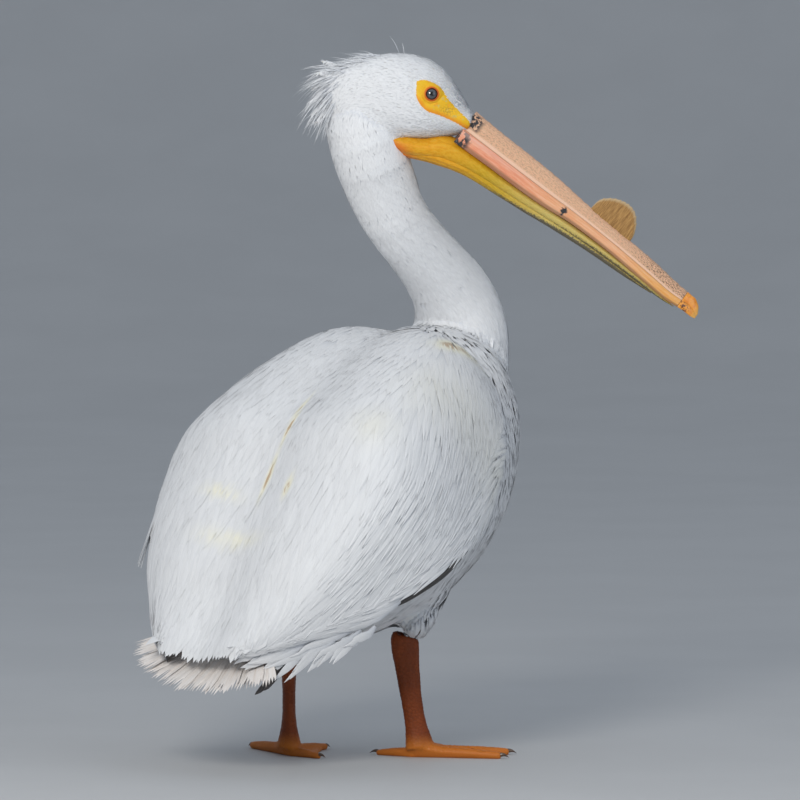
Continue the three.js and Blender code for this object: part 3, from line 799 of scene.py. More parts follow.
class Paint:
    """A material, written as sums of its nodes' sockets."""

    def __init__(self, name, roughness, sheen=0.0, coat=0.0, subsurface=0.0, specular=0.5):
        self.material = bpy.data.materials.new(name)
        self.material.use_nodes = True
        self.tree = self.material.node_tree
        self.shader = next(n for n in self.tree.nodes if n.type == "BSDF_PRINCIPLED")
        self.shader.inputs["Roughness"].default_value = roughness
        self.shader.inputs["Sheen Weight"].default_value = sheen
        self.shader.inputs["Coat Weight"].default_value = coat
        self.shader.inputs["Coat Roughness"].default_value = 0.08
        self.shader.inputs["Specular IOR Level"].default_value = specular
        self.shader.inputs["Subsurface Weight"].default_value = subsurface
        self.shader.inputs["Subsurface Scale"].default_value = 0.004
        self.place = self.node("ShaderNodeTexCoord", "Object", {})

    def feed(self, socket, value):
        if isinstance(value, Wire):
            self.tree.links.new(value.socket, socket)
        else:
            socket.default_value = (*value, 1.0) if socket.type == "RGBA" else value

    def node(self, kind, output, inputs, **settings):
        """Adds a node with its settings and inputs, and gives the named output."""
        node = self.tree.nodes.new(kind)
        for key, value in settings.items():
            setattr(node, key, value)
        for key, value in inputs.items():
            self.feed(node.inputs[key], value)
        return Wire(self, node.outputs[output])

    def read(self, name):
        """A number noted on the piece's points."""
        return self.node("ShaderNodeAttribute", "Fac", {}, attribute_name=name)

    def sum(self, operation, *values):
        return self.node("ShaderNodeMath", 0, dict(enumerate(values)), operation=operation)

    def step(self, value, low, high):
        """0 below low, 1 above high, smooth between; low may be above high."""
        flip = float(low > high)
        ends = {"From Min": min(low, high), "From Max": max(low, high), "To Min": flip, "To Max": 1.0 - flip}
        inputs = {"Value": value, **ends}
        return self.node(
            "ShaderNodeMapRange", "Result", inputs, interpolation_type="SMOOTHSTEP", clamp=True
        )

    def blend(self, share, a, b, kind="MIX"):
        inputs = {"Factor": share, "A": a, "B": b}
        return self.node("ShaderNodeMix", "Result", inputs, data_type="RGBA", blend_type=kind)

    def grain(self, scale, detail=3.0, rough=0.55, place=None):
        """Cloudy noise from 0 to 1."""
        inputs = {"Vector": place or self.place, "Scale": scale, "Detail": detail, "Roughness": rough}
        return self.node("ShaderNodeTexNoise", "Fac", inputs)

    def strands(self, detail, rough, *place):
        """Noise drawn out along a piece, by numbers noted on its points."""
        return self.grain(1.0, detail, rough, self.vector(*place))

    def cells(self, scale):
        """How far each point lies from the edge of its cell."""
        inputs = {"Vector": self.place, "Scale": scale}
        return self.node("ShaderNodeTexVoronoi", "Distance", inputs, feature="DISTANCE_TO_EDGE")

    def vector(self, x, y, z=0.0):
        return self.node("ShaderNodeCombineXYZ", "Vector", {"X": x, "Y": y, "Z": z})

    def colour(self, value):
        self.feed(self.shader.inputs["Base Color"], value)

    def roughness(self, value):
        self.feed(self.shader.inputs["Roughness"], value)

    def relief(self, height, depth, strength=1.0):
        """Adds a bump of a depth in metres under the ones made before."""
        inputs = {"Strength": strength, "Distance": depth, "Height": height}
        before = self.shader.inputs["Normal"]
        if before.is_linked:
            inputs["Normal"] = Wire(self, before.links[0].from_socket)
        self.feed(before, self.node("ShaderNodeBump", "Normal", inputs))


def barbs(paint, count, across_scale=9.0):
    """Fine slanting barbs on both sides of a feather's shaft."""
    share, across = paint.read("share"), paint.read("across")
    side = abs(across)
    slant = share * float(count) - side * across_scale
    tone = paint.read("tone") * 40.0
    return paint.strands(2.0, 0.6, slant, side * 0.6, tone)


def plumage_paint(name, white, shade, depth=0.0006, barb_count=60, tint=(0.79, 0.77, 0.64), streaks=3.4):
    """Plumage: fine strands along each feather, finer barbs, painted shade at the roots and edges, and cream
    to brown marks.
    """
    paint = Paint(name, 0.78, sheen=0.2)
    share, across, tone = paint.read("share"), paint.read("across"), paint.read("tone")
    barb = barbs(paint, barb_count)
    side = abs(across)
    bend = across * (share * -0.5 + 1.5)
    place = paint.vector(bend * streaks, share * 1.6, tone * 60.0)
    streak = paint.grain(1.0, 3.0, 0.6, place=place)
    # Painted shade: each feather darkens towards the shade colour at its root and along its side edges, and
    # a little in its streaks and barbs.
    body = paint.blend(paint.step(share, 0.0, 0.6), shade, white)
    body = paint.blend(paint.step(side, 0.6, 1.0) * 0.1, body, shade)
    body = paint.blend(paint.step(streak, 0.55, 0.4) * 0.2, body, shade)
    body = paint.blend(paint.step(barb, 0.42, 0.62) * 0.08, body, shade)
    cloud = paint.grain(9.0, 4.0, 0.6)
    body = paint.blend(paint.step(cloud, 0.48, 0.75) * 0.1, body, (0.7, 0.7, 0.7))
    value = tone * 0.03 + 0.97
    body = paint.blend(1.0, body, paint.vector(value, value, value), "MULTIPLY")
    # Where marks are noted, the feathers turn cream (or the plush grey), and brown where the marks are
    # strongest.
    body = paint.blend(paint.sum("MINIMUM", paint.read("marking"), 1.0), body, tint)
    body = paint.blend(paint.step(paint.read("marking"), 1.0, 1.8), body, (0.50, 0.37, 0.24))
    paint.colour(body)
    paint.relief(streak, depth * 1.2, 0.28)
    paint.relief(barb, depth, 0.25)
    return paint.material


def skin_paint(look):
    """Skin under white plumage, bare and yellow around the eye, orange and scaled on the legs."""
    paint = Paint("Pelican skin", 0.55, subsurface=0.06, specular=0.25)
    fine = paint.grain(420.0, 4.0, 0.6)
    broad = paint.grain(60.0, 4.0, 0.6)
    down = paint.blend(paint.step(broad, 0.35, 0.7), look.plumage, (0.66, 0.65, 0.64))
    # Bare face: clear yellow, orange towards the lid, speckled grey in front.
    lid = paint.read("lid")
    face = paint.blend(paint.step(broad, 0.3, 0.75), look.face, (0.86, 0.52, 0.03))
    face = paint.blend(paint.step(paint.grain(230.0, 3.0), 0.56, 0.72), face, (0.80, 0.36, 0.02))
    face = paint.blend(paint.step(paint.grain(150.0, 2.0), 0.62, 0.7) * 0.75, face, (0.62, 0.5, 0.14))
    face = paint.blend(paint.read("flush") * 0.8, face, (0.8, 0.27, 0.015))
    dark = paint.read("flecks") * paint.step(paint.grain(520.0, 2.0), 0.5, 0.58)
    face = paint.blend(dark * 0.5, face, (0.2, 0.13, 0.05))
    face = paint.blend(paint.step(lid, 13.0, 8.0) * 0.55, face, (0.82, 0.33, 0.02))
    face = paint.blend(paint.step(lid, 9.6, 7.6), face, (0.60, 0.11, 0.015))
    face = paint.blend(paint.step(lid, 7.3, 6.6), face, (0.10, 0.03, 0.015))
    edge = paint.read("bare") + (fine - 0.5) * 2.5
    body = paint.blend(paint.step(edge, -0.4, 0.4), down, face)
    # Legs: deep orange skin painted darker as painted shade, with duller, darker joints and worn pale
    # scales; towards the floor the feet are painted lighter orange, as painted light.
    leg = paint.blend(paint.step(paint.grain(26.0, 4.0), 0.35, 0.7), look.leg, (0.15, 0.030, 0.006))
    leg = paint.blend(paint.step(paint.cells(260.0), 0.0, 0.1) * 0.7, (0.16, 0.034, 0.007), leg)
    leg = paint.blend(paint.step(paint.grain(90.0, 5.0), 0.6, 0.75) * 0.2, leg, (0.4, 0.11, 0.02))
    leg = paint.blend(paint.read("foot"), leg, (0.50, 0.15, 0.02))
    body = paint.blend(paint.step(paint.read("leg"), 0.3, 0.7), body, leg)
    paint.colour(body)
    rough = fine * 0.3 + 0.38
    paint.roughness(rough)
    paint.relief(paint.cells(420.0), 0.00035, 0.6)
    paint.relief(fine, 0.0003, 0.5)
    return paint.material


# ---------------------------------------------------------------- what a user may change


def length_setting(name, description, default, low, high):
    return FloatProperty(
        name=name, description=description, default=default, min=low, max=high, unit="LENGTH"
    )


def colour_setting(name, description, *default):
    return FloatVectorProperty(
        name=name, description=description, subtype="COLOR", size=3, min=0, max=1, default=default
    )


class PelicanCoat(bpy.types.PropertyGroup):
    """Sizes of the coat"""

    coat_depth: length_setting(
        "Coat depth", "How thick the body's feathers lie over the skin", 0.007, 0.003, 0.012
    )
    neck_depth: length_setting(
        "Neck coat depth", "How thick the neck's soft plumage lies over the skin", 0.0024, 0.001, 0.008
    )
    head_depth: length_setting(
        "Head plush depth", "How thick the head's short plush lies over the skin", 0.0018, 0.001, 0.005
    )
    strand_length: length_setting(
        "Covert length", "Length of the long narrow coverts on the wing's side", 0.088, 0.05, 0.12
    )
    neck_tuft: length_setting(
        "Neck tuft length", "Length of the soft tufts on the neck", 0.013, 0.006, 0.02
    )
    head_tuft: length_setting(
        "Head tuft length", "Length of the short plush on the head", 0.0065, 0.003, 0.012
    )
    crest_plumes: IntProperty(
        name="Crest plumes", description="How many loose plumes stand off the nape",
        default=520, min=60, max=800,
    )


class PelicanColours(bpy.types.PropertyGroup):
    """Colours of the bird"""

    # The body's white is set darker than the head's and neck's plush, as painted shade for the dimmer light
    # on the body.
    plumage: colour_setting("Plumage", "White of the body feathers", 0.73, 0.74, 0.755)
    # The shade colour is painted shade, laid on the feathers' roots, edges, streaks and barbs.
    shade: colour_setting(
        "Feather root and edge shade", "Painted shade at the roots and edges of feathers", 0.56, 0.585, 0.63
    )
    face: colour_setting("Face", "Bare skin around the eye", 0.76, 0.43, 0.012)
    # The legs' colour is their orange skin painted darker, as painted shade.
    leg: colour_setting("Legs", "Skin of the legs and webs", 0.23, 0.046, 0.007)
    bill: colour_setting("Bill side", "Side of the upper bill", 0.80, 0.40, 0.20)
    pouch: colour_setting("Pouch", "Skin of the pouch near the gape", 0.80, 0.34, 0.002)
    flight: colour_setting("Flight feathers", "Black of the long wing feathers", 0.022, 0.020, 0.021)


class PelicanStudio(bpy.types.PropertyGroup):
    """The stage's light and camera"""

    key: FloatProperty(
        name="Key light", description="Strength of the large soft key light", default=75, min=0,
        unit="POWER",
    )
    surround: FloatProperty(
        name="Surround", description="Strength of the pale surround", default=0.78, min=0, max=2,
    )


# What one operator leaves for the next ones.
made = {}


def coat():
    return bpy.context.scene.pelican_coat


def colours():
    return bpy.context.scene.pelican_colours


BODY_FLESH = ["trunk", "mantle", "thigh_left", "thigh_right", "neck_lower", "neck_middle", "neck_upper"]
WING_FLESH = ["wing_coverts_left", "wing_coverts_right", "wing_tertials_left", "wing_tertials_right"]
NECK_FLESH = ["neck_lower", "neck_middle", "neck_upper", "head"]
HEAD_FLESH = ["head", "face_left", "face_right"]
LEG_FLESH = ["leg_left", "leg_right", "foot_left", "foot_right"]
ALL_FLESH = BODY_FLESH + WING_FLESH + LEG_FLESH + HEAD_FLESH


class PELICAN_OT_skin(bpy.types.Operator):
    """Makes the one skin of trunk, wings, neck, head, legs and feet"""

    bl_idname = "pelican.skin"
    bl_label = "Skin"

    def execute(self, context):
        material = skin_paint(colours())
        tree = inset_tree(material)
        sizes = coat()
        depth, neck_depth, head_depth = (
            x / MM for x in (sizes.coat_depth, sizes.neck_depth, sizes.head_depth)
        )
        body = fleshed("Skin", BODY_FLESH + WING_FLESH + ["head"], tree, 6.0, depth, 12)
        neck = fleshed("neck flesh", NECK_FLESH, tree, 3.0, neck_depth, 30)
        head = fleshed("head flesh", HEAD_FLESH, tree, 1.5, head_depth, 10)
        legs = fleshed("leg flesh", LEG_FLESH, tree, 1.75, 0, 8)
        thighs = fleshed("thigh flesh", ["thigh_left", "thigh_right"], tree, 3.0, depth, 8)
        skin = unite(body, neck, head, legs, thighs, eyelid(1), eyelid(-1))
        if not skin.data.polygons:
            raise RuntimeError("the skin came out empty")
        skin.data.polygons.foreach_set("use_smooth", np.ones(len(skin.data.polygons), bool))
        mark_skin(skin)
        bpy.context.view_layer.objects.active = skin
        skin.select_set(True)
        bpy.ops.object.mode_set(mode="EDIT")
        bpy.ops.mesh.select_all(action="SELECT")
        bpy.ops.uv.smart_project(angle_limit=1.15, island_margin=0.001)
        bpy.ops.object.mode_set(mode="OBJECT")
        skin.data.uv_layers[0].name = "OFBake"
        made["skin"] = skin
        made["hide"] = Hide(skin)
        made["cloak"] = Cloak(depth)
        finish_piece(skin, material, "plumage", *ALL_FLESH)
        return {"FINISHED"}


# ---------------------------------------------------------------- wing and back feathers

REAR_REACH = 338  # feathers end this far behind the trunk's middle
# How far the feathers' lie turns down the wing's side, in degrees, along the trunk.
LIE_TURN = [[-330, 2], [-200, 7], [-100, 13], [0, 22], [60, 32], [120, 38], [190, 40]]
RIM_TURN = [
    [-330, 14], [-215, 17], [-160, 12], [-100, 8], [-50, 5], [15, 4], [50, 9], [80, 18], [110, 32],
    [150, 44], [190, 44],
]


def cloak_share(along):
    shares = even(300)
    return np.interp(along, through(CLOAK_ROWS, shares)[:, 0], shares)


def cloak_along(u):
    return through(CLOAK_ROWS, u)[..., 0]


def lie_turn(u, v):
    along = cloak_along(u)
    middle, rim = read_off(LIE_TURN, along), read_off(RIM_TURN, along)
    return np.radians(mix(middle * ease(0.22, 0.6, np.abs(v)), rim, ease(0.55, 0.95, np.abs(v))))


def cloak_lie(jitter):
    """The direction of the feathers over the wings and back, with a turn of each one's own."""

    def lie(u, v, normal):
        back = on_surface(-FORWARD, normal)
        out = np.cross(back, normal)
        out *= np.where(out[:, 1] * v > 0, -1, 1)[:, None]
        turn = lie_turn(u, v) + jitter
        return back * np.cos(turn)[:, None] + out * np.sin(turn)[:, None]

    return lie


def strand_share(along, v):
    """How far a place's feathers are long narrow strands: 0 broad, 1 strands."""
    side = np.abs(v)
    front = ease(0.36, 0.60, side)
    rear = ease(0.55, 0.90, side) * 0.8
    return mix(rear, front, ease(-230, -110, along))


def wing_sizes(along, v, strand_length):
    """Half width and length of the feathers rooted at a place, and how far they are strands."""
    q = strand_share(along, v)
    stops = [-330, -150, 0, 100, 190]
    broad_half = np.interp(along, stops, [8.0, 9.5, 7.5, 4.6, 2.8])
    broad_length = np.interp(along, stops, [80, 128, 88, 50, 30])
    strand_half = np.interp(along, stops, [4.4, 4.4, 3.2, 2.5, 2.0])
    strand = strand_length * np.interp(along, stops, [0.8, 1.1, 1.0, 0.66, 0.34])
    return mix(broad_half, strand_half, q), mix(broad_length, strand, q), q


def wing_roots(cloak, strand_length, seed):
    """Rows of roots from the shoulders to the rear: u and v of each."""
    rng = np.random.default_rng(seed)
    us, vs = [], []
    along = 190.0
    while along > -300:
        u = float(cloak_share(along))
        arc = float(np.interp(u, even(len(cloak.arc)), cloak.arc))
        for side in (-1, 1):
            at = rng.uniform(0, 6)
            while at < arc * 1.01:
                half, _, q = (float(x) for x in wing_sizes(along, at / arc, strand_length))
                shift = rng.uniform(-0.5, 0.5) * mix(10, 13, q)
                us.append(float(cloak_share(np.clip(along + shift, -306, 196))))
                vs.append(side * at / arc)
                at += half * mix(1.0, np.interp(along, [40, 110], [1.05, 0.8]), q) * rng.uniform(0.85, 1.15)
        along -= float(np.interp(along, [-330, -150, 100, 190], [13, 16, 13, 10]))
    return np.array(us), np.array(vs)


def plain_map(u, v):
    """A place on the wings' unrolled form, for the map that colours are kept on."""
    return np.stack([0.02 + 0.96 * np.clip(u, 0, 1), 0.5 + 0.43 * np.clip(v, -1.1, 1.1)], -1)


# Cream and tan marks on the plumage: [along, to the right, reach along, reach across, strength].
MARKS = [
    [-18, 7, 20, 2.4, 1.7], [-52, 11, 22, 2.6, 2.1], [-112, 8, 24, 3.0, 2.3],
    [-130, 49, 11, 4.5, 2.0], [-141, -44, 6, 24, 0.9], [-193, -10, 8, 38, 0.9],
    [-40, 126, 26, 24, 0.35], [70, 142, 60, 30, 0.3], [156, 97, 22, 9, 1.6],
]


def marked(path, wild):
    """How far the marks colour each point of the feathers."""
    along, right = dot(path - BODY_CENTRE, FORWARD), -path[..., 1]
    found = np.zeros(along.shape)
    for x, y, long, wide, strong in MARKS:
        found = np.maximum(found, strong * np.exp(-((along - x) / long) ** 2 - ((right - y) / wide) ** 2))
    return found * (1 + 0.3 * wild[:, None, None])


def wing_feathers(name, cloak, u, v, seed, broad):
    """One group of the wing's and back's feathers, broad ones or strands."""
    along = cloak_along(u)
    half, length, q = wing_sizes(along, v, coat().strand_length / MM)
    count = len(u)
    wild = noise(seed, count, 6)
    length = length * (1 + 0.14 * wild[:, 0])
    arc = np.interp(u, even(len(cloak.arc)), cloak.arc)
    slope = np.maximum(np.sin(lie_turn(u, v)), 0.04)
    past = np.interp(along, [-330, -300, -240, -190, -150, 40, 110], [12, 20, 25, 27, 22, 20, 12])
    length = np.minimum(length, (Cloak.RIM_END - np.abs(v)) * arc / slope + past)
    length = np.maximum(np.minimum(length, along + REAR_REACH - 4 - 4 * wild[:, 5]), 14)
    steps = 10 if broad else 9
    jitter = np.radians(mix(2.5, 4.0, q) * wild[:, 1])
    path, up = cloak.trace(u, v, cloak_lie(jitter), length, steps)
    share = even(steps)[None, :]
    width = lance(share, 0.25, 0.56, 0.8) * (1 + 0.06 * noise(seed + 1, count, steps))
    loose = q[:, None]
    fine = np.interp(along, [20, 110], [1.0, 0.45])[:, None]
    flat = np.interp(along, [-300, -240], [0.2, 1.0])[:, None]
    crown = mix(0.035, 0.30 * flat, loose) * fine * half[:, None] * (1 - 0.5 * share)
    depth = coat().coat_depth / MM
    fine = fine * np.interp(along, [-310, -260], [0.25, 1.0])[:, None]
    low = np.interp(along, [-60, 60, 120], [0.25, 0.5, 0.8])[:, None]
    lift = 0.3 + (depth - 1.6) * mix(low, 1.0, share ** mix(0.4, 0.6, loose))
    lift = lift + mix(0.08, 0.4, loose) * fine * wild[:, 2, None] * share
    lift = lift + mix(0.05, 0.6, loose) * fine * wild[:, 3, None] * share**3
    if name.endswith("left"):
        # A few worn tips spring off the left wing.
        rim = cloak.at(np.array([cloak_share(-203.0)]), np.array([-0.6]))[0]
        sprung = np.argsort(np.linalg.norm(path[:, -1] - rim, axis=1))[:7]
        spring = (share[0, :, None] ** 2.2) * (LEFT * 15 - UP * 9)
        path[sprung] += spring * (1 + 0.45 * wild[sprung, 1, None, None])
    section = BROAD if broad else STRAND
    points = feather_points(path, up, half[:, None] * width, crown, lift, section, 0.05 * wild[:, 4])
    return points, section, plain_map(u, v), wild[:, 5], marked(points, wild[:, 4])


class PELICAN_OT_wings(bpy.types.Operator):
    """Lays the feathers of the back and folded wings, from broad scapulars to narrow coverts"""

    bl_idname = "pelican.wings"
    bl_label = "Back and wing feathers"

    def execute(self, context):
        cloak = made["cloak"]
        look = colours()
        paint = plumage_paint("White plumage", look.plumage, look.shade)
        made["plumage"] = paint
        u, v = wing_roots(cloak, coat().strand_length / MM, 11)
        q = strand_share(cloak_along(u), v)
        groups = (("Back_feathers", q <= 0.5, True), ("Covert_strands_left", (q > 0.5) & (v < 0), False),
                  ("Covert_strands_right", (q > 0.5) & (v > 0), False))
        for i, (name, mine, broad) in enumerate(groups):
            points, section, spots, tone, marking = wing_feathers(
                name, cloak, u[mine], v[mine], 20 + 10 * i, broad
            )
            piece = feather_piece(name, points, section, spots, tone, marking)
            finish_piece(piece, paint, "plumage")
        return {"FINISHED"}


# ---------------------------------------------------------------- body, neck and head plumage


class Packed:
    """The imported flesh: which node is nearest a point, and how far its surface lies from it."""

    def __init__(self):
        self.names = ALL_FLESH
        corners, faces, owner, start = [], [], [], 0
        for i, name in enumerate(self.names):
            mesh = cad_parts[name].data
            triangles = read_triangles(mesh)
            corners.append(read_points(mesh))
            faces.append(triangles + start)
            owner.append(np.full(len(triangles), i))
            start += len(corners[-1])
        self.owner = np.concatenate(owner)
        self.tree = BVHTree.FromPolygons(
            np.concatenate(corners).tolist(), np.concatenate(faces).tolist(), all_triangles=True
        )

    def nearest(self, points):
        hits = [self.tree.find_nearest(p) for p in points.tolist()]
        names = np.array(self.names)[self.owner[[hit[2] for hit in hits]]]
        found, normals = (np.array([hit[k][:] for hit in hits]) for k in (0, 1))
        return names, np.array([hit[3] for hit in hits]) * np.sign(dot(found - points, normals))


def neck_share(points):
    """How far along the neck's middle line each point lies, and the line's direction there."""
    shares = even(120)
    line = through(NECK_LINE, shares)
    nearest = np.argmin(np.linalg.norm(points[:, None] - line, axis=-1), axis=1)
    return shares[nearest], unit(np.gradient(line, axis=0))[nearest], line[nearest]


def body_lie(points, normals):
    """The lie of trunk feathers: down the breast, then back along the belly."""
    along = dot(points - BODY_CENTRE, FORWARD)
    down = ease(30, 190, along)[:, None]
    return on_surface(-FORWARD * (1 - down) - UP * down, normals)


def neck_lie(points, normals):
    _, ahead, _ = neck_share(points)
    return on_surface(-ahead, normals)


def thigh_lie(points, normals):
    return on_surface(np.broadcast_to(-UP - 0.25 * FORWARD, points.shape), normals)


def head_lie(points, normals):
    """The lie of the head's plush: back over the skull, then down the nape and throat."""
    spot = head_coordinates(points)
    down = ease(30, -25, spot[:, 0]) * 0.9 + ease(735, 705, spot[:, 1]) * 0.6
    down = np.clip(down, 0, 1)[:, None]
    _, ahead, _ = neck_share(points)
    back = -SKULL_AHEAD - 0.12 * UP
    return on_surface(back * (1 - down) - ahead * down, normals)


def turned(lie, degrees, seed):
    """A lie with a turn of each feather's own."""

    def own(points, normals):
        angle = np.radians(degrees) * noise(seed, len(points))
        way = lie(points, normals)
        return way * np.cos(angle)[:, None] + np.cross(normals, way) * np.sin(angle)[:, None]

    return own


def round_map(points, axis, origin, side, low, high):
    """An unwrap around an axis: the turn about it and the distance along it."""
    offset = points - origin
    along = (dot(offset, axis) - low) / (high - low)
    up = np.cross(axis, side)
    turn = np.arctan2(dot(offset, side), dot(offset, up)) / (2 * math.pi) + 0.5
    return np.stack([0.02 + 0.96 * turn, 0.02 + 0.96 * np.clip(along, 0, 1)], -1)


def neck_map(points):
    share, ahead, line = neck_share(points)
    side = unit(np.cross(ahead, UP))
    offset = points - line
    turn = np.arctan2(dot(offset, side), dot(offset, np.cross(ahead, side))) / (2 * math.pi) + 0.5
    return np.stack([0.02 + 0.96 * turn, 0.02 + 0.96 * share], -1)


def skin_feathers(start, lie, length, half, steps, seed, crown, spread, proud=0.8, most=6.2):
    """Tufts rooted on the skin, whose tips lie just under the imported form.

    Each is turned out of the lie by up to spread degrees, and its tip stays proud millimetres
    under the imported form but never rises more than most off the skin.
    """
    count = len(start)
    wild = noise(seed, count, 5)
    length = length * (1 + 0.2 * wild[:, 0])
    path, up = made["hide"].trace(start, turned(lie, spread, seed + 1), length, steps)
    _, depth = made["packed"].nearest(start)
    share = even(steps)[None, :]
    width = lance(share, 0.3, 0.62, 0.7) * (1 + 0.06 * noise(seed + 2, count, steps))
    half = half * (1 + 0.15 * wild[:, 1])
    rise = np.clip(depth - proud, 0.4, most)[:, None]
    lift = rise * share**0.2 + 0.02 * rise * wild[:, 2, None] * share**2 - 0.4 * (1 - share)
    crowns = (half * crown)[:, None] * (1 - 0.5 * share)
    points = feather_points(path, up, half[:, None] * width, crowns, lift, TUFT, 0.08 * wild[:, 3])
    end = path[:, -1]
    return points, wild[:, 4], np.linalg.norm(made["hide"].nearest(end)[0] - end, axis=1) < 3


def tufted(name, start, spots, paint, lie, length, half, marking=None, **shape):
    """One piece of the coat, of tufts rooted at places on the skin."""
    points, tone, lying = skin_feathers(start, lie, length, half, **shape)
    marking = None if marking is None else marking[lying]
    piece = feather_piece(name, points[lying], TUFT, spots[lying], tone[lying], marking)
    return finish_piece(piece, paint, "plumage")


class PELICAN_OT_body(bpy.types.Operator):
    """Lays the feathers of breast, belly and thighs"""

    bl_idname = "pelican.body"
    bl_label = "Breast, belly and thigh feathers"

    def execute(self, context):
        hide = made["hide"]
        made["packed"] = Packed()
        owner, _ = made["packed"].nearest(hide.middles)
        made["owner"] = owner
        start = hide.scatter(owner == "trunk", np.full(len(owner), 6.6), 41)
        along = dot(start - BODY_CENTRE, FORWARD)
        front = ease(60, 200, along)
        spots = round_map(start, FORWARD, BODY_CENTRE, LEFT, -320, 290)
        tufted("Breast_and_belly_feathers", start, spots, made["plumage"],
               body_lie, mix(44, 28, front), mix(4.2, 2.8, front), steps=5, seed=43, crown=0.05, spread=4)
        lower = np.char.startswith(owner.astype(str), "thigh")
        start = hide.scatter(lower & (hide.middles[:, 2] > THIGH_FLOOR), np.full(len(owner), 4.2), 42)
        spots = round_map(start, UP, np.array([20, 0, 0.0]), LEFT, 130, 320)
        length, half = np.full(len(start), 17.0), np.full(len(start), 2.0)
        tufted("Thigh_feathers", start, spots, made["plumage"],
               thigh_lie, length, half, steps=5, seed=44, crown=0.14, spread=8, proud=0.5)
        return {"FINISHED"}


class PELICAN_OT_neck(bpy.types.Operator):
    """Covers the neck with short soft tufts"""

    bl_idname = "pelican.neck"
    bl_label = "Neck plush"

    def execute(self, context):
        hide, owner = made["hide"], made["owner"]
        look = colours()
        # Painted light: the plush is a lighter copy of the body's whites, standing in for the stronger light
        # on head and neck, and the body's plumage is the shaded copy.
        white, shade = [x * 1.14 for x in look.plumage], [x * 1.18 for x in look.shade]
        made["plush"] = plumage_paint("Painted lit white plush", white, shade, 0.0003, 30, (0.34, 0.37, 0.42), 2.0)
        length = coat().neck_tuft / MM
        height = neck_share(hide.middles)[0]
        spacing = mix(3.9, 2.5, ease(0.1, 0.85, height))
        for i, (part, most) in enumerate((("lower", 4.5), ("middle", 2.4), ("upper", 2.4))):
            name = "Neck_plush_" + part
            start = hide.scatter(owner == "neck_" + part, spacing, 51 + i)
            finer = ease(0.1, 0.85, neck_share(start)[0])
            long, half = length * mix(1.9, 0.9, finer), mix(2.3, 1.15, finer)
            tufted(name, start, neck_map(start), made["plush"], neck_lie, long, half,
                   steps=4, seed=55 + 5 * i, crown=0.09, spread=7, proud=0.7, most=most)
        return {"FINISHED"}


class PELICAN_OT_head(bpy.types.Operator):
    """Covers the head with its shortest plush, leaving the face bare"""

    bl_idname = "pelican.head"
    bl_label = "Head plush"

    def execute(self, context):
        hide, owner = made["hide"], made["owner"]
        mine = np.isin(owner, HEAD_FLESH)
        start = hide.scatter(mine, np.full(len(owner), 2.05), 71)
        spot = head_coordinates(start)
        middle = np.abs(spot[:, 2]) < FOREHEAD_HALF_WIDTH
        bare = np.where(middle, -20, outline_distance(spot[:, :2], FACE_OUTLINE))
        ragged = -0.3 - 0.9 * (noise(73, len(start)) > 0.2)
        eye_gap = np.hypot(spot[:, 0] - EYE[0], spot[:, 1] - EYE[1])
        keep = (bare < ragged) & ((eye_gap > 12) | middle)
        start, spot, bare = start[keep], spot[keep], bare[keep]
        front = ease(60, 130, spot[:, 0])
        near_face = ease(-7, -1, bare)
        length = coat().head_tuft / MM * mix(1.35, 0.62, np.maximum(front, near_face))
        half = mix(0.95, 0.6, front)
        # Grey tinge between the face and the ridge of the bill.
        grey = (
            0.75 * ease(108, 132, spot[:, 0]) * ease(744, 756, spot[:, 1])
            * (1 + 0.3 * noise(74, len(start)))
        )
        spots = round_map(start, SKULL_AHEAD, HEAD_MIDDLE, HEAD_LEFT, -90, 110)
        tufted("Head_plush", start, spots, made["plush"], head_lie, length, half, np.clip(grey, 0, 1),
               steps=3, seed=72, crown=0.12, spread=12, proud=0.35, most=2.0)
        return {"FINISHED"}


# The crest's roots, from the crown down the nape: [ahead, height].
CREST_ROOTS = [[34, 815], [12, 812], [-6, 803], [-17, 788], [-21, 770], [-20, 752], [-16, 735]]


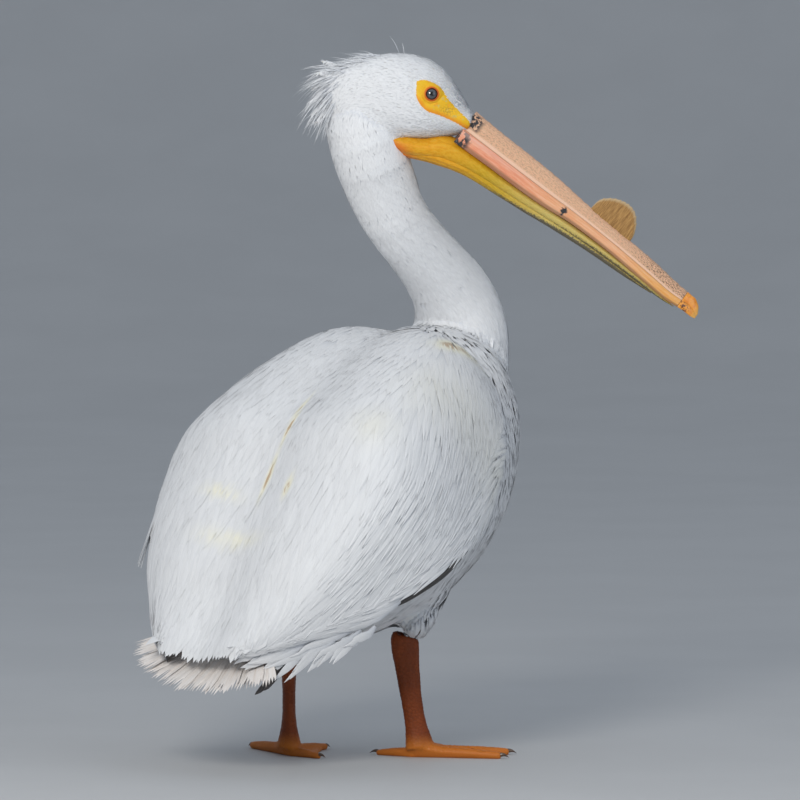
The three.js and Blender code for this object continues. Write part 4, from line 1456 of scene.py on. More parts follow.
class PELICAN_OT_crest(bpy.types.Operator):
    """Hangs the loose plumes of the crest off the crown and nape"""

    bl_idname = "pelican.crest"
    bl_label = "Crest"

    def execute(self, context):
        count = coat().crest_plumes
        rng = np.random.default_rng(81)
        ridge = through(CREST_ROOTS, rng.beta(1.1, 1.3, count))
        down = np.clip((815 - ridge[:, 1]) / 80, 0, 1)
        left = rng.normal(0, 12, count) * mix(1.0, 1.3, down)
        root = head_point(
            ridge[:, 0] + rng.uniform(-5, 9, count), ridge[:, 1] + rng.uniform(-7, 7, count), left
        )
        root, normal = made["hide"].nearest(root)
        long = mix(0.35, 1.0, rng.uniform(0, 1, count) ** 1.3)
        reach = long * np.interp(down, [0, 0.25, 0.6, 1], [38, 52, 46, 22])
        pitch = np.radians(
            np.interp(down, [0, 0.2, 0.5, 0.8, 1], [20, 2, -38, -62, -72]) + rng.normal(0, 8, count)
        )
        away = rng.normal(0, 0.16, count)[:, None] * HEAD_LEFT
        # Two loose feathers stand off the crown.
        root[:2] = head_point(np.array([57, 63]), np.array([814, 813]))
        reach[:2], pitch[:2] = (36, 28), (1.25, 1.5)
        heading = unit(-AHEAD * np.cos(pitch)[:, None] + UP * np.sin(pitch)[:, None] + away)
        steps = 8
        share = even(steps)[None, :, None]
        bend = mix(5.0, 18.0, rng.uniform(0, 1, count))[:, None, None] * (reach / 35)[:, None, None]
        side_bend = rng.normal(0, 3.0, count)[:, None, None]
        path = root[:, None] + heading[:, None] * (reach[:, None, None] * share)
        path = (
            path - UP * bend * share ** 2 + HEAD_LEFT * side_bend * share ** 2
            - normal[:, None] * 1.5 * (1 - share)
        )
        up = np.broadcast_to(normal[:, None], path.shape)
        half = rng.uniform(0.25, 0.55, count)[:, None] * lance(share[..., 0], 0.15, 0.35, 0.8)
        crown = half * 0.8
        points = feather_points(path, up, half, crown, np.zeros(half.shape), TUFT)
        spots = round_map(root, SKULL_AHEAD, HEAD_MIDDLE, HEAD_LEFT, -90, 110)
        piece = feather_piece("Crest", points, TUFT, spots, rng.uniform(-1, 0.4, count))
        finish_piece(piece, made["plush"], "plumage")
        return {"FINISHED"}


# ---------------------------------------------------------------- flight and tail feathers


def flight_paint(look):
    paint = Paint("Black flight feather", 0.42, sheen=0.1)
    barb = barbs(paint, 110)
    side = abs(paint.read("across"))
    body = paint.blend(paint.step(barb, 0.35, 0.7), look.flight, (0.045, 0.038, 0.036))
    body = paint.blend(paint.step(side, 0.8, 1.0) * 0.5, body, (0.11, 0.09, 0.08))
    shaft = paint.step(side, 0.10, 0.04)
    body = paint.blend(shaft * 0.7, body, (0.16, 0.13, 0.11))
    paint.colour(body)
    paint.roughness(barb * 0.25 + 0.34)
    paint.relief(barb, 0.0005, 0.6)
    return paint.material


class PELICAN_OT_flight(bpy.types.Operator):
    """Stacks the black flight feathers under the rim of each folded wing"""

    bl_idname = "pelican.flight"
    bl_label = "Flight feathers"

    def execute(self, context):
        sets = []
        steps = 14
        for sign in (1, -1):
            for i in range(15):
                start = (-0.02 + 0.052 * i) * (1 if sign < 0 else 0.8)
                share = np.clip(np.linspace(start, start + (0.30 if sign < 0 else 0.26), steps), 0, 1)
                along, out, dorsal, height = np.moveaxis(through(FLIGHT_ROWS, share), -1, 0)
                low = -0.55 + 0.5 * ((i * 7) % 5) / 4
                own = even(steps)
                hidden = ease(-155, -200, along)
                tucked = (
                    mix(3.2, 15.0, hidden) + 8.0 * ease(-45, -5, along)
                    - 9.0 * ease(-280, -330, along)
                )
                raised = (
                    8.0 * hidden * ease(-330, -280, along)
                    - 3.5 * ease(30, -20, along) * ease(-170, -130, along)
                )
                path = body_point(
                    along, sign * (out - tucked + 0.25 * (i % 4)), dorsal + raised + low * height
                )
                up = np.broadcast_to(unit(LEFT * sign - 0.25 * DORSAL), path.shape)
                half = np.minimum(height * 0.62, 7.5) * lance(own, 0.1, 0.86, 0.6)
                sets.append((path, up, half, 1.0 - 0.4 * own, 0.5 + 1.8 * own))
        path, up, half, crown, lift = (np.stack(x) for x in zip(*sets))
        points = feather_points(path, up, half, crown, lift, BROAD)
        tone = noise(91, len(points))
        spots = np.stack([np.linspace(0.05, 0.95, len(points)), np.full(len(points), 0.5)], -1)
        piece = feather_piece("Flight_feathers_black", points, BROAD, spots, tone)
        finish_piece(piece, flight_paint(colours()), "flight_feathers",
                     "flight_feathers_left", "flight_feathers_right")
        return {"FINISHED"}


TAIL_ROOT = np.array([-176.0, 0.0, 174.0])
TAIL_YAW, TAIL_PITCH, TAIL_ROLL = math.radians(11), math.radians(-32), math.radians(10)
TAIL_LENGTH, TAIL_SPREAD, TAIL_ROOT_HALF_WIDTH = 144, math.radians(82), 24


def tail_axes():
    yaw = math.pi - TAIL_YAW
    back = (
        np.array([math.cos(yaw), math.sin(yaw), 0.0]) * math.cos(TAIL_PITCH)
        + UP * math.sin(TAIL_PITCH)
    )
    side = unit(np.cross(UP, back))
    side = side * math.cos(TAIL_ROLL) - np.cross(back, side) * math.sin(TAIL_ROLL)
    up = np.cross(back, side)
    return back, side, up * (1 if up[2] > 0 else -1)


def tail_paint():
    paint = Paint("Worn tail feather", 0.7, sheen=0.2)
    share, across, tone = paint.read("share"), paint.read("across"), paint.read("tone")
    barb = barbs(paint, 70, 7.0)
    wisp = paint.strands(3.0, 0.6, across * 5.0, share * 2.0, tone * 40.0)
    body = paint.blend(paint.step(share, 0.3, 0.9), (0.76, 0.755, 0.76), (0.73, 0.70, 0.68))
    body = paint.blend(paint.step(wisp, 0.42, 0.62) * 0.4, body, (0.7, 0.62, 0.56))
    body = paint.blend(paint.step(barb, 0.45, 0.65) * 0.12, body, (0.6, 0.52, 0.46))
    shaft = paint.step(abs(across), 0.1, 0.03) * paint.step(share, 0.95, 0.7)
    body = paint.blend(shaft * 0.45, body, (0.5, 0.4, 0.32))
    paint.colour(body)
    paint.relief(wisp, 0.0008, 0.5)
    paint.relief(barb, 0.0005, 0.35)
    return paint.material


class PELICAN_OT_tail(bpy.types.Operator):
    """Fans the short worn tail out of its coverts"""

    bl_idname = "pelican.tail"
    bl_label = "Tail feathers"

    def execute(self, context):
        back, side, up = tail_axes()
        rng = np.random.default_rng(101)
        # Each vane is one closed sheet whose end is worn into wisps, one for each column across it.
        columns, steps, quills = 15, 13, 15
        across = np.linspace(-1, 1, columns)
        ring = np.concatenate([across, across[-2:0:-1]])
        top = np.arange(len(ring)) < columns
        own = even(steps)[:, None]
        vanes, tones, spots = [], [], []
        for i in range(quills):
            fan = 2 * i / (quills - 1) - 1
            wisp = np.interp(across, np.linspace(-1, 1, 6), rng.uniform(0.0, 0.07, 6))
            wisp = (
                wisp + np.where(np.arange(columns) % 2, 0.02, rng.uniform(0.06, 0.17, columns))
                + 0.05 * across ** 2
            )
            reach = TAIL_LENGTH * (1.03 - 0.10 * fan**2 - np.concatenate([wisp, wisp[-2:0:-1]]))
            spread = ring * mix(0.03, 0.135, own**0.8)
            angle = TAIL_SPREAD / 2 * (fan + spread)
            x = own * reach * np.cos(angle)
            y = own * reach * np.sin(angle) + TAIL_ROOT_HALF_WIDTH * (fan + 0.05 * ring)
            thin = mix(0.7, 0.12, own)
            rise = np.where(top, thin * (1.4 - ring**2), -0.4 * thin) + ((i % 2) * 1.8 - 0.9) * own
            curl = rng.uniform(-1.2, 1.2)
            fray = rng.uniform(-0.5, 0.5, columns)[np.abs(across[:, None] - ring).argmin(0)]
            rise = rise + curl * own**2 + fray * own**4 * 1.6
            vanes.append(TAIL_ROOT + x[..., None] * back + y[..., None] * side + rise[..., None] * up)
            tones.append(rng.uniform(-1, 1))
            spots.append([0.5 + 0.45 * fan, 0.5])
        material = tail_paint()
        vane_section = np.stack([ring, 0 * ring], -1)
        fan_piece = feather_piece(
            "Tail_feathers_worn", np.array(vanes), vane_section, np.array(spots), np.array(tones)
        )
        steps = 9
        own = even(steps)
        sets, tones, spots = [], [], []
        # Coverts lie over the roots of the tail, above and below.
        for face in (1, -1):
            for row, (start, long) in enumerate(((4, 52), (0, 40), (-6, 30))):
                for i in range(17):
                    fan = (2 * (i + 0.5 * (row % 2)) / 17 - 1) * 0.92
                    angle = TAIL_SPREAD / 2 * fan * 0.9
                    along = start + (long + rng.uniform(-5, 5)) * own
                    x, y = along * np.cos(angle), along * np.sin(angle) + TAIL_ROOT_HALF_WIDTH * fan
                    rise = face * (1.6 + row * 0.9 + 0.8 * own)
                    path = TAIL_ROOT + x[:, None] * back + y[:, None] * side + rise[:, None] * up
                    half = 5.5 * lance(own, 0.2, 0.6, 0.6)
                    sets.append(
                        (path, np.broadcast_to(up * face, path.shape), half, 0.9 - 0.4 * own, 0 * own)
                    )
                    tones.append(-1.0 + 0.3 * rng.uniform())
                    spots.append([0.5 + 0.45 * fan, 0.25 + 0.1 * row])
        path, ups, half, crown, lift = (np.stack(x) for x in zip(*sets))
        points = feather_points(path, ups, half, crown, lift, STRAND)
        piece = feather_piece("tail coverts", points, STRAND, np.array(spots), np.array(tones))
        finish_piece(join("Tail_feathers_worn", [fan_piece, piece]), material, "tail_feathers", "tail")
        return {"FINISHED"}


# ---------------------------------------------------------------- bill


def bill_point(along, left, rise):
    along, left, rise = (np.asarray(x, float)[..., None] for x in (along, left, rise))
    return BILL_ROOT + along * BILL_AHEAD + left * HEAD_LEFT + rise * BILL_UP


# [along, half width, ridge, edge]
UPPER_BILL_ROWS = [
    [-6, 24, 21, -23], [40, 22, 20, -21], [82, 20, 20, -20], [120, 18.5, 19, -18],
    [160, 17, 16, -13.5], [212, 17, 14, -12.5], [262, 17, 12, -14.5], [296, 14, 9, -15.5],
    [316, 11, 8, -13.5],
]
# Half of the section from the ridge over the groove to the edge: [across, rise].
UPPER_BILL_SECTION = [
    [0, 1], [0.16, 0.985], [0.31, 0.93], [0.44, 0.84], [0.54, 0.74], [0.62, 0.62], [0.665, 0.52],
    [0.68, 0.455], [0.70, 0.41], [0.77, 0.43], [0.86, 0.38], [0.95, 0.24], [1.0, 0.06], [0.96, 0.0],
    [0.86, 0.02], [0.6, 0.09], [0.3, 0.11], [0, 0.12],
]
NAIL_ROWS = [
    [316.3, 11, 8, -13.5], [327, 9.5, 7.5, -12.5], [336, 6.5, 3, -12.5], [341.5, 3, -5, -11.5],
]
LOWER_BILL_ROWS = [
    [46, 716, 6, 20], [62, 709, 11, 24], [86, 705, 12.5, 23], [112, 703.5, 16.5, 22],
    [139, 689, 12.5, 20], [168, 669.5, 9.5, 18], [204, 645, 8, 16], [243, 620, 6.8, 15],
    [282, 593.5, 5.5, 14], [321, 564.5, 4.4, 13], [345, 545.5, 3.4, 10], [362, 531.5, 2, 5],
    [376, 521.5, 0.5, 2],
]
POUCH_ROWS = [
    [52, 705, 7, 12], [70, 701, 7, 16], [100, 694.5, 8, 17], [134, 681.5, 7.5, 15],
    [166, 662, 7, 13], [202, 638, 6, 12], [241, 613.5, 5, 11], [280, 587.5, 4, 9],
    [316, 561.5, 3, 6], [330, 551, 1.8, 3], [350, 537, 0.4, 1],
]


def bill_rings(rows, count, refine=3):
    """Rings over the upper bill's section, with where each point lies around and along it."""
    table = through(rows, even(count))
    half = through(UPPER_BILL_SECTION, even((len(UPPER_BILL_SECTION) - 1) * refine + 1))
    share = even(len(half))
    across = np.concatenate([half[:, 0], -half[-2:0:-1, 0]])
    rise = np.concatenate([half[:, 1], half[-2:0:-1, 1]])
    around = np.concatenate([share, share[-2:0:-1]])
    along, width, ridge, edge = (table[:, i, None] for i in range(4))
    rings = bill_point(along + 0 * across, width * across, edge + rise * (ridge - edge))
    return rings, around + 0 * along, along + 0 * across


def tube_rings(rows, count, sides, flat=2.0, wander=None):
    """Rings of the lower bill or pouch, from [ahead, height, half height, half width]."""
    table = through(rows, even(count))
    line = head_point(table[:, 0], table[:, 1])
    ahead = unit(np.gradient(line, axis=0))
    up = unit(np.cross(ahead, HEAD_LEFT))
    up *= np.where(up[:, 2] < 0, -1, 1)[:, None]
    turns = circle(sides)
    c, s = np.cos(turns), np.sin(turns)
    scale = (np.abs(c) ** flat + np.abs(s) ** flat) ** (-1 / flat)
    high, wide = table[:, 2, None], table[:, 3, None]
    swell = 1 if wander is None else wander(even(count)[:, None], turns[None, :])
    x = (c * scale)[None, :] * wide * swell
    y = (s * scale)[None, :] * high * swell
    rings = line[:, None] + x[..., None] * HEAD_LEFT + y[..., None] * up[:, None]
    along = np.insert(np.cumsum(np.linalg.norm(np.diff(line, axis=0), axis=1)), 0, 0)
    return rings, (s + 0 * high), along[:, None] + 0 * s


def upper_bill_paint(look):
    """Horn of the upper bill: mottled ridge, groove, pink base turning peach and orange."""
    paint = Paint("Upper bill horn", 0.40, coat=0.1, subsurface=0.05, specular=0.35)
    around, along = paint.read("around"), paint.read("along")
    streak = paint.strands(5.0, 0.62, along * 0.035, around * 34.0)
    fleck = paint.strands(4.0, 0.7, along * 0.32, around * 46.0)
    side = paint.blend(paint.step(along, 60.0, 150.0), (0.80, 0.30, 0.17), look.bill)
    side = paint.blend(paint.step(along, 210.0, 300.0), side, (0.82, 0.40, 0.09))
    side = paint.blend(paint.step(streak, 0.42, 0.66) * 0.42, side, (0.88, 0.56, 0.38))
    side = paint.blend(paint.step(streak, 0.55, 0.35) * 0.25, side, (0.62, 0.2, 0.09))
    ridge = paint.blend(paint.step(fleck, 0.42, 0.66), (0.76, 0.45, 0.28), (0.50, 0.31, 0.20))
    ridge = paint.blend(paint.step(streak, 0.5, 0.7) * 0.6, ridge, (0.82, 0.55, 0.36))
    ridge = paint.blend(
        paint.step(along, 225.0, 270.0) * paint.step(fleck, 0.48, 0.6), ridge, (0.17, 0.1, 0.06)
    )
    body = paint.blend(paint.step(around, 0.43, 0.47), (0.86, 0.58, 0.42), side)
    body = paint.blend(paint.step(around, 0.37, 0.32), body, ridge)
    groove = paint.step(around, 0.41, 0.445) * paint.step(around, 0.51, 0.475)
    body = paint.blend(groove * 0.8, body, (0.2, 0.075, 0.03))
    lip = paint.step(around, 0.67, 0.7) * paint.step(around, 0.8, 0.75)
    body = paint.blend(lip * 0.7, body, (0.2, 0.1, 0.05))
    blot = paint.strands(4.0, 0.6, along * 0.16, around * 13.0)
    zone = paint.sum(
        "MAXIMUM",
        paint.step(around, 0.06, 0.14) * paint.step(around, 0.36, 0.3),
        paint.step(around, 0.54, 0.6),
    )
    base = paint.step(along, 13.0, 5.0) * paint.step(blot, 0.43, 0.5) * zone
    body = paint.blend(base, body, (0.035, 0.035, 0.04))
    far = abs(along - 144.0)
    low = abs((around - 0.645) * 75.0)
    spot = far + low + (fleck + blot) * 9.0
    body = paint.blend(paint.step(spot, 15.0, 12.5), body, (0.03, 0.03, 0.035))
    # A painted highlight: a pale peach band along the side of the bill near its base.
    painted_highlight = paint.step(abs(around - 0.6), 0.06, 0.0) * paint.step(along, 110.0, 20.0)
    body = paint.blend(painted_highlight * 0.35, body, (0.9, 0.62, 0.52))
    paint.colour(body)
    paint.roughness(fleck * 0.35 + 0.22)
    paint.relief(streak, 0.0010, 0.6)
    paint.relief(fleck, 0.0005, 0.6)
    return paint.material


def nail_paint():
    paint = Paint("Bill nail horn", 0.3, coat=0.4, subsurface=0.05)
    along, around = paint.read("along"), paint.read("around")
    fleck = paint.grain(300.0, 4.0)
    body = paint.blend(paint.step(fleck, 0.4, 0.65), (0.84, 0.33, 0.03), (0.76, 0.25, 0.03))
    body = paint.blend(paint.step(along, 332.0, 340.0), body, (0.86, 0.45, 0.10))
    low = paint.step(around, 0.35, 0.55) * paint.step(along, 333.0, 323.0)
    body = paint.blend(low * paint.step(fleck, 0.42, 0.55), body, (0.1, 0.035, 0.02))
    paint.colour(body)
    paint.relief(fleck, 0.0004, 0.5)
    return paint.material


def lower_bill_paint(look, name, deep):
    """The lower bill and pouch: orange at the gape, olive yellow, then mottled grey below."""
    paint = Paint(name, 0.48, coat=0.04, subsurface=0.08, specular=0.3)
    up, along = paint.read("around"), paint.read("along")
    fine = paint.strands(5.0, 0.68, along * 0.16, up * 5.5)
    speck = paint.grain(520.0, 4.0, 0.7)
    body = paint.blend(paint.step(along, 45.0, 140.0), look.pouch, (0.58, 0.36, 0.006))
    body = paint.blend(paint.step(along, 110.0, 220.0), body, (0.62, 0.50, 0.17))
    body = paint.blend(paint.step(fine, 0.42, 0.62) * 0.35, body, (0.66, 0.48, 0.07))
    body = paint.blend(paint.step(fine, 0.55, 0.36) * 0.32, body, (0.4, 0.26, 0.03))
    red = paint.step(along, 34.0, 12.0) * paint.step(up, 0.5, -0.4)
    body = paint.blend(red * 0.85, body, (0.74, 0.17, 0.02))
    # The grey mottle climbs from the lower edge as it nears the tip.
    level = paint.step(along, 90.0, 300.0) * (1.15 if deep else 0.85) - (0.75 if deep else 1.15)
    mottle = level - up + (speck - 0.5) * 2.4
    dark = paint.step(mottle, -0.05, 0.35) * paint.step(along, 85.0, 150.0)
    body = paint.blend(dark * 0.88, body, (0.085, 0.078, 0.07))
    paint.colour(body)
    paint.roughness(speck * 0.3 + 0.34)
    paint.relief(fine, 0.0010, 0.7)
    paint.relief(speck, 0.0004, 0.5)
    return paint.material


def horn_paint():
    paint = Paint("Fibrous horn", 0.72)
    rise, along = paint.read("around"), paint.read("along")
    fibre = paint.strands(5.0, 0.65, along * 0.95, rise * 2.2)
    body = paint.blend(paint.step(fibre, 0.36, 0.64), (0.25, 0.12, 0.030), (0.50, 0.28, 0.09))
    body = paint.blend(paint.step(rise, 0.86, 1.0), body, (0.60, 0.44, 0.25))
    body = paint.blend(paint.step(rise, 0.2, 0.0) * 0.6, body, (0.16, 0.075, 0.025))
    paint.colour(body)
    paint.relief(fibre, 0.0012, 0.8)
    return paint.material


HORN_OUTLINE = [
    [168, 8], [168, 20], [171, 31], [183, 41], [199, 45.5], [212, 42], [222, 31], [227, 18],
    [226, 6],
]
HORN_THICKNESS = 9


def unrolled(around, along):
    """The bill's form unrolled, for the map that colours are kept on."""
    return np.stack([0.02 + 0.96 * around, 0.02 + 0.96 * along], -1).reshape(-1, 2)


class PELICAN_OT_upper_bill(bpy.types.Operator):
    """Makes the upper bill with its ridge and groove, and the nail at its tip"""

    bl_idname = "pelican.upper_bill"
    bl_label = "Upper bill and nail"

    def execute(self, context):
        look = colours()
        for name, rows, count, material, slot, node in (
            ("Upper_bill_horn", UPPER_BILL_ROWS, 150, upper_bill_paint(look), "upper_bill", "upper_bill"),
            ("Bill_nail_hooked", NAIL_ROWS, 26, nail_paint(), "bill_nail", "bill_nail"),
        ):
            rings, around, along = bill_rings(rows, count)
            # The horn is a little rough along its ridge and sides.
            worn = 0.35 * np.sin(along * 0.55 + 9 * around) * np.sin(along * 0.13) * (around < 0.2)
            rings = rings + worn[..., None] * BILL_UP
            piece = loft(name, rings)
            note(piece, "around", around)
            note(piece, "along", along)
            turn = even(rings.shape[1])[None, :] + 0 * along
            lay_out(piece, unrolled(turn, (along - along.min()) / np.ptp(along)))
            finish_piece(piece, material, slot, node)
        return {"FINISHED"}


class PELICAN_OT_horn(bpy.types.Operator):
    """Stands the fibrous breeding plate on the ridge of the bill"""

    bl_idname = "pelican.horn"
    bl_label = "Bill plate"

    def execute(self, context):
        outline = through(HORN_OUTLINE, even(90))
        top = outline[:, 1] > 25
        ragged = 0.9 * np.sin(outline[:, 0] * 1.7) * np.sin(outline[:, 0] * 0.53 + 1)
        outline[:, 1] += np.where(top, ragged, 0)
        rise = even(26) ** 0.9
        foot_along = np.linspace(outline[0, 0], outline[-1, 0], 90)
        rings, around, along = [], [], []
        # Each ring is one fibre line up the plate's near side, over the rim and down the other.
        for k in range(90):
            x = mix(foot_along[k], outline[k, 0], rise)
            y = mix(6.0, outline[k, 1], rise)
            edge = math.sin(math.pi * (k + 0.5) / 90)
            bulge = HORN_THICKNESS / 2 * (1 - rise**6) ** 0.5 * mix(0.35, 1.0, min(1, edge * 3))
            fibre = 0.35 * math.sin(k * 2.399) + 0.2 * np.sin(rise * 22 + k)
            thick = np.maximum(bulge + fibre * (rise < 0.97), 0.25)
            near = bill_point(x, -thick, y)
            far = bill_point(x, thick, y)
            rings.append(np.concatenate([near, far[::-1]]))
            around.append(np.concatenate([rise, rise[::-1]]))
            along.append(np.concatenate([x, x[::-1]]))
        rings = np.array(rings)
        piece = loft("Bill_plate_fibrous", rings)
        note(piece, "around", np.array(around))
        note(piece, "along", np.array(along))
        share = even(90)[:, None] + 0 * rings[..., 0]
        lay_out(piece, unrolled(share, even(rings.shape[1])[None, :] + 0 * share))
        finish_piece(piece, horn_paint(), "bill_horn", "bill_horn")
        return {"FINISHED"}


class PELICAN_OT_lower_bill(bpy.types.Operator):
    """Makes the lower bill's bowed arms and the folded pouch between them"""

    bl_idname = "pelican.lower_bill"
    bl_label = "Lower bill and pouch"

    def execute(self, context):
        look = colours()

        def folds(share, turns):
            lower = np.clip(-np.sin(turns), 0, 1)
            ridges = np.sin(turns * 11 + 2 * np.sin(share * 9)) * 0.06 * lower
            return 1 + ridges + 0.012 * np.sin(share * 60 + 3 * turns)

        def ribs(share, turns):
            return 1 + 0.012 * np.sin(turns * 9) + 0.008 * np.sin(share * 41 + 2 * turns)

        for name, rows, sides, wander, deep, slot, node in (
            ("Lower_bill_arms", LOWER_BILL_ROWS, 40, ribs, False, "lower_bill", "lower_bill"),
            ("Pouch_folded", POUCH_ROWS, 64, folds, True, "pouch", "pouch"),
        ):
            rings, up, along = tube_rings(rows, 130, sides, 2.0, wander)
            piece = loft(name, rings)
            note(piece, "around", up)
            note(piece, "along", along)
            turn = even(sides)[None, :] + 0 * along
            lay_out(piece, unrolled(turn, along / along.max()))
            finish_piece(piece, lower_bill_paint(look, name.replace("_", " "), deep), slot, node)
        return {"FINISHED"}


# ---------------------------------------------------------------- eyes, claws and leg scales


def eye_paint():
    paint = Paint("Eye", 0.04, coat=1.0)
    reach = paint.read("reach")
    fibre = paint.strands(4.0, 0.6, paint.read("turn") * 30.0, reach * 0.5)
    iris = paint.blend(paint.step(fibre, 0.35, 0.65), (0.035, 0.045, 0.06), (0.085, 0.095, 0.11))
    iris = paint.blend(paint.step(reach, 4.4, 6.2), iris, (0.05, 0.022, 0.014))
    paint.colour(paint.blend(paint.step(reach, 2.7, 3.1), (0.003, 0.003, 0.004), iris))
    return paint.material


class PELICAN_OT_eyes(bpy.types.Operator):
    """Sets a wet dark eye inside each pair of lids"""

    bl_idname = "pelican.eyes"
    bl_label = "Eyes"

    def execute(self, context):
        for name, sign in (("left", 1), ("right", -1)):
            centre, out, ahead, up = eye_axes(sign)
            tilt = np.linspace(0.02, math.pi - 0.02, 40)[:, None]
            turn = circle(64)[None]
            reach, depth = np.sin(tilt) * EYE_RADIUS, np.cos(tilt) * EYE_RADIUS
            # The clear front bulges a little over the iris.
            depth = depth + 0.5 * np.clip(np.cos(tilt) - 0.72, 0, 1) / 0.28
            rings = (centre + (reach * np.cos(turn))[..., None] * ahead
                     + (reach * np.sin(turn))[..., None] * up + (depth + 0 * turn)[..., None] * out)
            piece = loft(f"Eye_wet_{name}", rings)
            note(piece, "reach", np.where(depth > 0, reach, 20) + 0 * turn)
            note(piece, "turn", np.cos(turn * 3) + 0 * tilt)
            lay_out(piece, unrolled(turn / (2 * math.pi) + 0 * tilt, tilt / math.pi + 0 * turn))
            finish_piece(piece, eye_paint(), "eye", f"eye_{name}")
        return {"FINISHED"}


FEET = {"left": (np.array([-28.0, 68.0, 0.0]), 1), "right": (np.array([49.0, -62.0, 0.0]), -1)}
TOE_OUT = 38
TOES = [[-27, 98, 1], [0, 108, 1], [30, 84, 0.9], [138, 54, 0.8]]


def toe_direction(sign, inwards):
    angle = math.radians(sign * (TOE_OUT - inwards))
    return np.array([math.cos(angle), math.sin(angle), 0.0])


def claw_paint():
    paint = Paint("Claw horn", 0.35, coat=0.2)
    streak = paint.grain(260.0, 4.0, 0.6)
    paint.colour(paint.blend(paint.step(streak, 0.35, 0.7), (0.045, 0.028, 0.02), (0.13, 0.075, 0.045)))
    paint.relief(streak, 0.0004, 0.6)
    return paint.material


class PELICAN_OT_claws(bpy.types.Operator):
    """Caps every toe with its short curved claw"""

    bl_idname = "pelican.claws"
    bl_label = "Claws"

    def execute(self, context):
        claws, nodes = [], []
        for side, (foot, sign) in FEET.items():
            for i, (inwards, length, girth) in enumerate(TOES):
                ahead = toe_direction(sign, inwards)
                across = np.cross(ahead, UP)
                share = even(10)[:, None]
                turn = circle(12)[None]
                rise = 4.4 + 1.2 * np.sin(share * 2.4) - 3.6 * share**2
                line = foot + ahead * (length - 1.5 + 11.5 * share) + UP * rise
                thick = np.maximum(1 - share**1.6, 0.06) * girth
                wide, high = np.cos(turn) * thick * 2.1, np.sin(turn) * thick * 2.7
                rings = line[:, None] + wide[..., None] * across + high[..., None] * UP
                claws.append(loft("claw", rings))
                lay_out(claws[-1], unrolled(turn / (2 * math.pi) + 0 * share, share + 0 * turn))
                nodes.append(f"claw_{side}_{i + 1}")
        piece = join("Claws_curved", claws)
        finish_piece(piece, claw_paint(), "claw_horn", *nodes)
        return {"FINISHED"}


def scale_tree(material):
    """Geometry nodes that set small domed scales over the skin of the legs."""
    tree = Tree("Leg scales", Spacing="Float", Radius="Float", Thickness="Float", Seed="Int")
    entry = tree.entry
    spread = tree.add(
        "GeometryNodeDistributePointsOnFaces",
        {
            "Mesh": entry["Geometry"],
            "Distance Min": entry["Spacing"],
            "Seed": entry["Seed"],
            "Density Max": 400000,
        },
        distribute_method="POISSON",
    )
    dome = tree.add("GeometryNodeMeshUVSphere", {"Segments": 6, "Rings": 4, "Radius": 1.0})
    radius, thickness = entry["Radius"], entry["Thickness"]
    flat = tree.add("ShaderNodeCombineXYZ", {"X": radius, "Y": radius, "Z": thickness})
    # Sockets 2 and 3 are the least and the greatest of a random number.
    vary = tree.add("FunctionNodeRandomValue", {2: 0.75, 3: 1.15}, data_type="FLOAT")
    size = tree.add("ShaderNodeVectorMath", {0: flat["Vector"], "Scale": vary[1]}, operation="SCALE")
    put = tree.add(
        "GeometryNodeInstanceOnPoints",
        {
            "Points": spread["Points"],
            "Instance": dome["Mesh"],
            "Rotation": spread["Rotation"],
            "Scale": size["Vector"],
        },
    )
    return tree.close(put["Instances"], material)


def scale_paint(look):
    paint = Paint("Leg scale", 0.5, coat=0.03, subsurface=0.05, specular=0.25)
    broad, fine = paint.grain(30.0, 4.0, 0.6), paint.grain(240.0, 4.0, 0.65)
    body = paint.blend(paint.step(broad, 0.35, 0.68), look.leg, (0.15, 0.030, 0.006))
    body = paint.blend(paint.step(fine, 0.52, 0.72) * 0.2, body, (0.34, 0.08, 0.015))
    # The shank's darker colour is painted shade, and the feet are painted lighter orange towards the floor,
    # as painted light.
    body = paint.blend(paint.read("foot"), body, (0.50, 0.15, 0.015))
    paint.colour(body)
    paint.relief(fine, 0.0003, 0.6)
    return paint.material


class PELICAN_OT_scales(bpy.types.Operator):
    """Sets the small scales over the legs and toes with geometry nodes"""

    bl_idname = "pelican.scales"
    bl_label = "Leg scales"

    def execute(self, context):
        hide = made["hide"]
        keep = np.isin(made["owner"], LEG_FLESH)
        tarsus = keep & (hide.middles[:, 2] > SOLE_TOP) & (hide.middles[:, 2] < SHANK_TOP)
        if not tarsus.any():
            raise RuntimeError("no leg skin was found to set scales on")
        used, faces = np.unique(hide.faces[tarsus], return_inverse=True)
        piece = mesh_from("Leg_scales", hide.points[used], [faces.reshape(-1, 3)])
        material = scale_paint(colours())
        tree = scale_tree(material)
        with_tree(piece, tree, Spacing=3.4 * MM, Radius=2.1 * MM, Thickness=0.3 * MM, Seed=5)
        points = read_points(piece.data)
        spots = round_map(points, UP, np.array([0, 0, 0.0]), LEFT, 0, 150)
        for layer in list(piece.data.uv_layers):
            piece.data.uv_layers.remove(layer)
        lay_out(piece, spots)
        # Where the feet are painted lighter orange, as painted light.
        note(piece, "foot", ease(30, 8, points[:, 2]))
        finish_piece(piece, material, "leg_skin")
        return {"FINISHED"}


# ---------------------------------------------------------------- stage


def floor_paint():
    paint = Paint("Pale floor", 0.6)
    cloud = paint.grain(3.0, 4.0)
    paint.colour(paint.blend(paint.step(cloud, 0.3, 0.7), (0.50, 0.505, 0.51), (0.52, 0.525, 0.53)))
    return paint.material


def area_light(name, place_at, towards, power, size, tint):
    light = bpy.data.lights.new(name, "AREA")
    light.energy = power
    light.shape = "DISK"
    light.size = size
    light.color = tint
    lamp = linked(name, light)
    lamp.location = place_at
    lamp.rotation_euler = (Vector(towards) - Vector(place_at)).to_track_quat("-Z", "Y").to_euler()


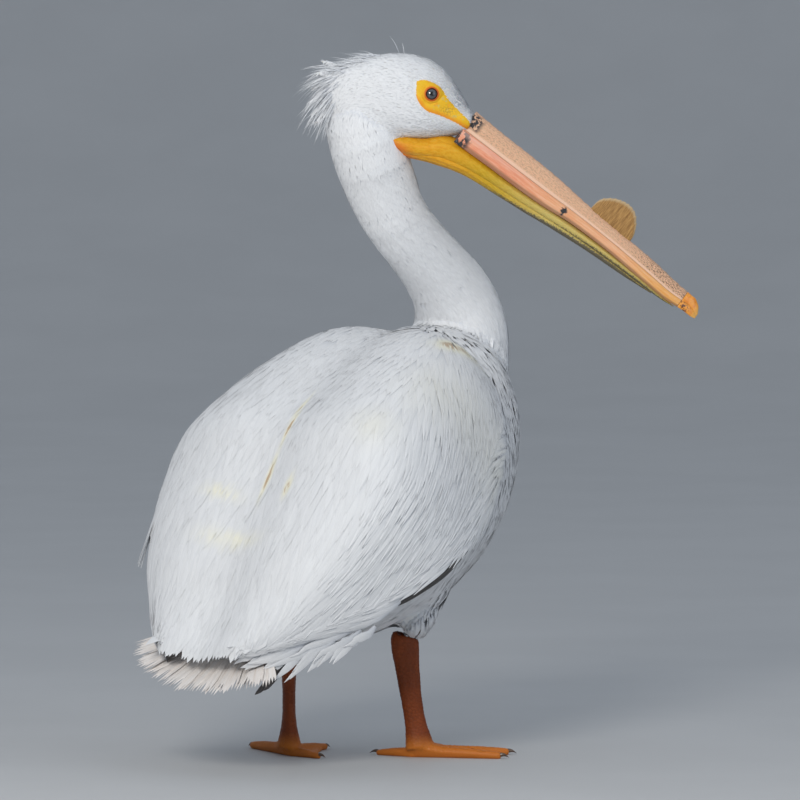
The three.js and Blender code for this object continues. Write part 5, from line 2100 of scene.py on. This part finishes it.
# The floor's round sweep: [distance from the middle, height] in metres.
STAGE_PROFILE = [[0.3, 0], [3, 0], [6, 0], [8, 0.12], [10, 0.7], [11.5, 2.0], [12.3, 4.0], [12.6, 7.0]]
VIEW_TURN = math.radians(52)
VIEW_RISE = math.radians(3)
VIEW_DISTANCE = 9.0
LENS = 349.4


class PELICAN_OT_studio(bpy.types.Operator):
    """Lays the floor, the soft lights and the camera"""

    bl_idname = "pelican.studio"
    bl_label = "Studio"

    def execute(self, context):
        scene = context.scene
        studio = scene.pelican_studio
        turn = circle(96)[None]
        profile = through(STAGE_PROFILE, even(60))
        reach, height = profile[:, :1], profile[:, 1:]
        rings = np.stack([reach * np.cos(turn), reach * np.sin(turn), height + 0 * turn], -1)
        quads, ends = tube_faces(len(rings), rings.shape[1])
        floor = mesh_from("Floor", displaced(rings.reshape(-1, 3)), [quads, ends[:1]])
        floor.data.materials.append(floor_paint())
        right = np.array([math.cos(VIEW_TURN), -math.sin(VIEW_TURN), 0.0])
        away = np.array([math.sin(VIEW_TURN), math.cos(VIEW_TURN), 0.0])
        look_along = away * math.cos(VIEW_RISE) - UP * math.sin(VIEW_RISE)
        up = away * math.sin(VIEW_RISE) + UP * math.cos(VIEW_RISE)
        target = place(58 * right + 413.8 * up)
        world = bpy.data.worlds.new("Pale surround")
        scene.world = world
        world.use_nodes = True
        background = world.node_tree.nodes["Background"]
        background.inputs["Color"].default_value = (0.62, 0.68, 0.76, 1)
        background.inputs["Strength"].default_value = studio.surround
        # Each light stands to the right, up and towards the camera, in metres.
        for name, (r, u, w), power, size, tint in (
            ("Key", (-0.9, 1.4, 3.2), studio.key, 1.1, (1.0, 0.97, 0.92)),
            ("Fill", (2.8, 0.8, 2.2), studio.key * 0.26, 2.5, (0.86, 0.92, 1.0)),
        ):
            area_light(name, tuple(target + right * r + UP * u - away * w), target, power, size, tint)
        camera = linked("Camera", bpy.data.cameras.new("Camera"))
        camera.location = target - look_along * VIEW_DISTANCE
        camera.rotation_euler = Vector(look_along).to_track_quat("-Z", "Y").to_euler()
        camera.data.sensor_width = 36
        camera.data.lens = LENS
        camera.data.clip_end = 60
        scene.camera = camera
        scene.view_settings.view_transform = "Standard"
        return {"FINISHED"}


# ---------------------------------------------------------------- panel and run

OPERATORS = (
    PELICAN_OT_skin,
    PELICAN_OT_wings,
    PELICAN_OT_body,
    PELICAN_OT_neck,
    PELICAN_OT_head,
    PELICAN_OT_crest,
    PELICAN_OT_flight,
    PELICAN_OT_tail,
    PELICAN_OT_upper_bill,
    PELICAN_OT_horn,
    PELICAN_OT_lower_bill,
    PELICAN_OT_eyes,
    PELICAN_OT_claws,
    PELICAN_OT_scales,
    PELICAN_OT_studio,
)


class PELICAN_PT_panel(bpy.types.Panel):
    """The pelican's pieces, sizes and colours"""

    bl_idname = "PELICAN_PT_panel"
    bl_label = "White Pelican"
    bl_space_type = "VIEW_3D"
    bl_region_type = "UI"
    bl_category = "Pelican"

    def draw(self, context):
        for group in SETTINGS:
            box = self.layout.box()
            box.label(text=group.removeprefix("pelican_").title())
            settings = getattr(context.scene, group)
            for name in settings.bl_rna.properties.keys():
                if name not in ("rna_type", "name"):
                    box.prop(settings, name)
        column = self.layout.column(align=True)
        for operator in OPERATORS:
            column.operator(operator.bl_idname)


SETTINGS = {
    "pelican_coat": PelicanCoat,
    "pelican_colours": PelicanColours,
    "pelican_studio": PelicanStudio,
}
CLASSES = (*SETTINGS.values(), *OPERATORS, PELICAN_PT_panel)


def register():
    for cls in CLASSES:
        bpy.utils.register_class(cls)
    for group, cls in SETTINGS.items():
        setattr(bpy.types.Scene, group, PointerProperty(type=cls))


def unregister():
    for group in SETTINGS:
        delattr(bpy.types.Scene, group)
    for cls in reversed(CLASSES):
        bpy.utils.unregister_class(cls)


def main():
    register()
    for operator in OPERATORS:
        group, name = operator.bl_idname.split(".")
        getattr(getattr(bpy.ops, group), name)()


if __name__ == "__main__":
    main()
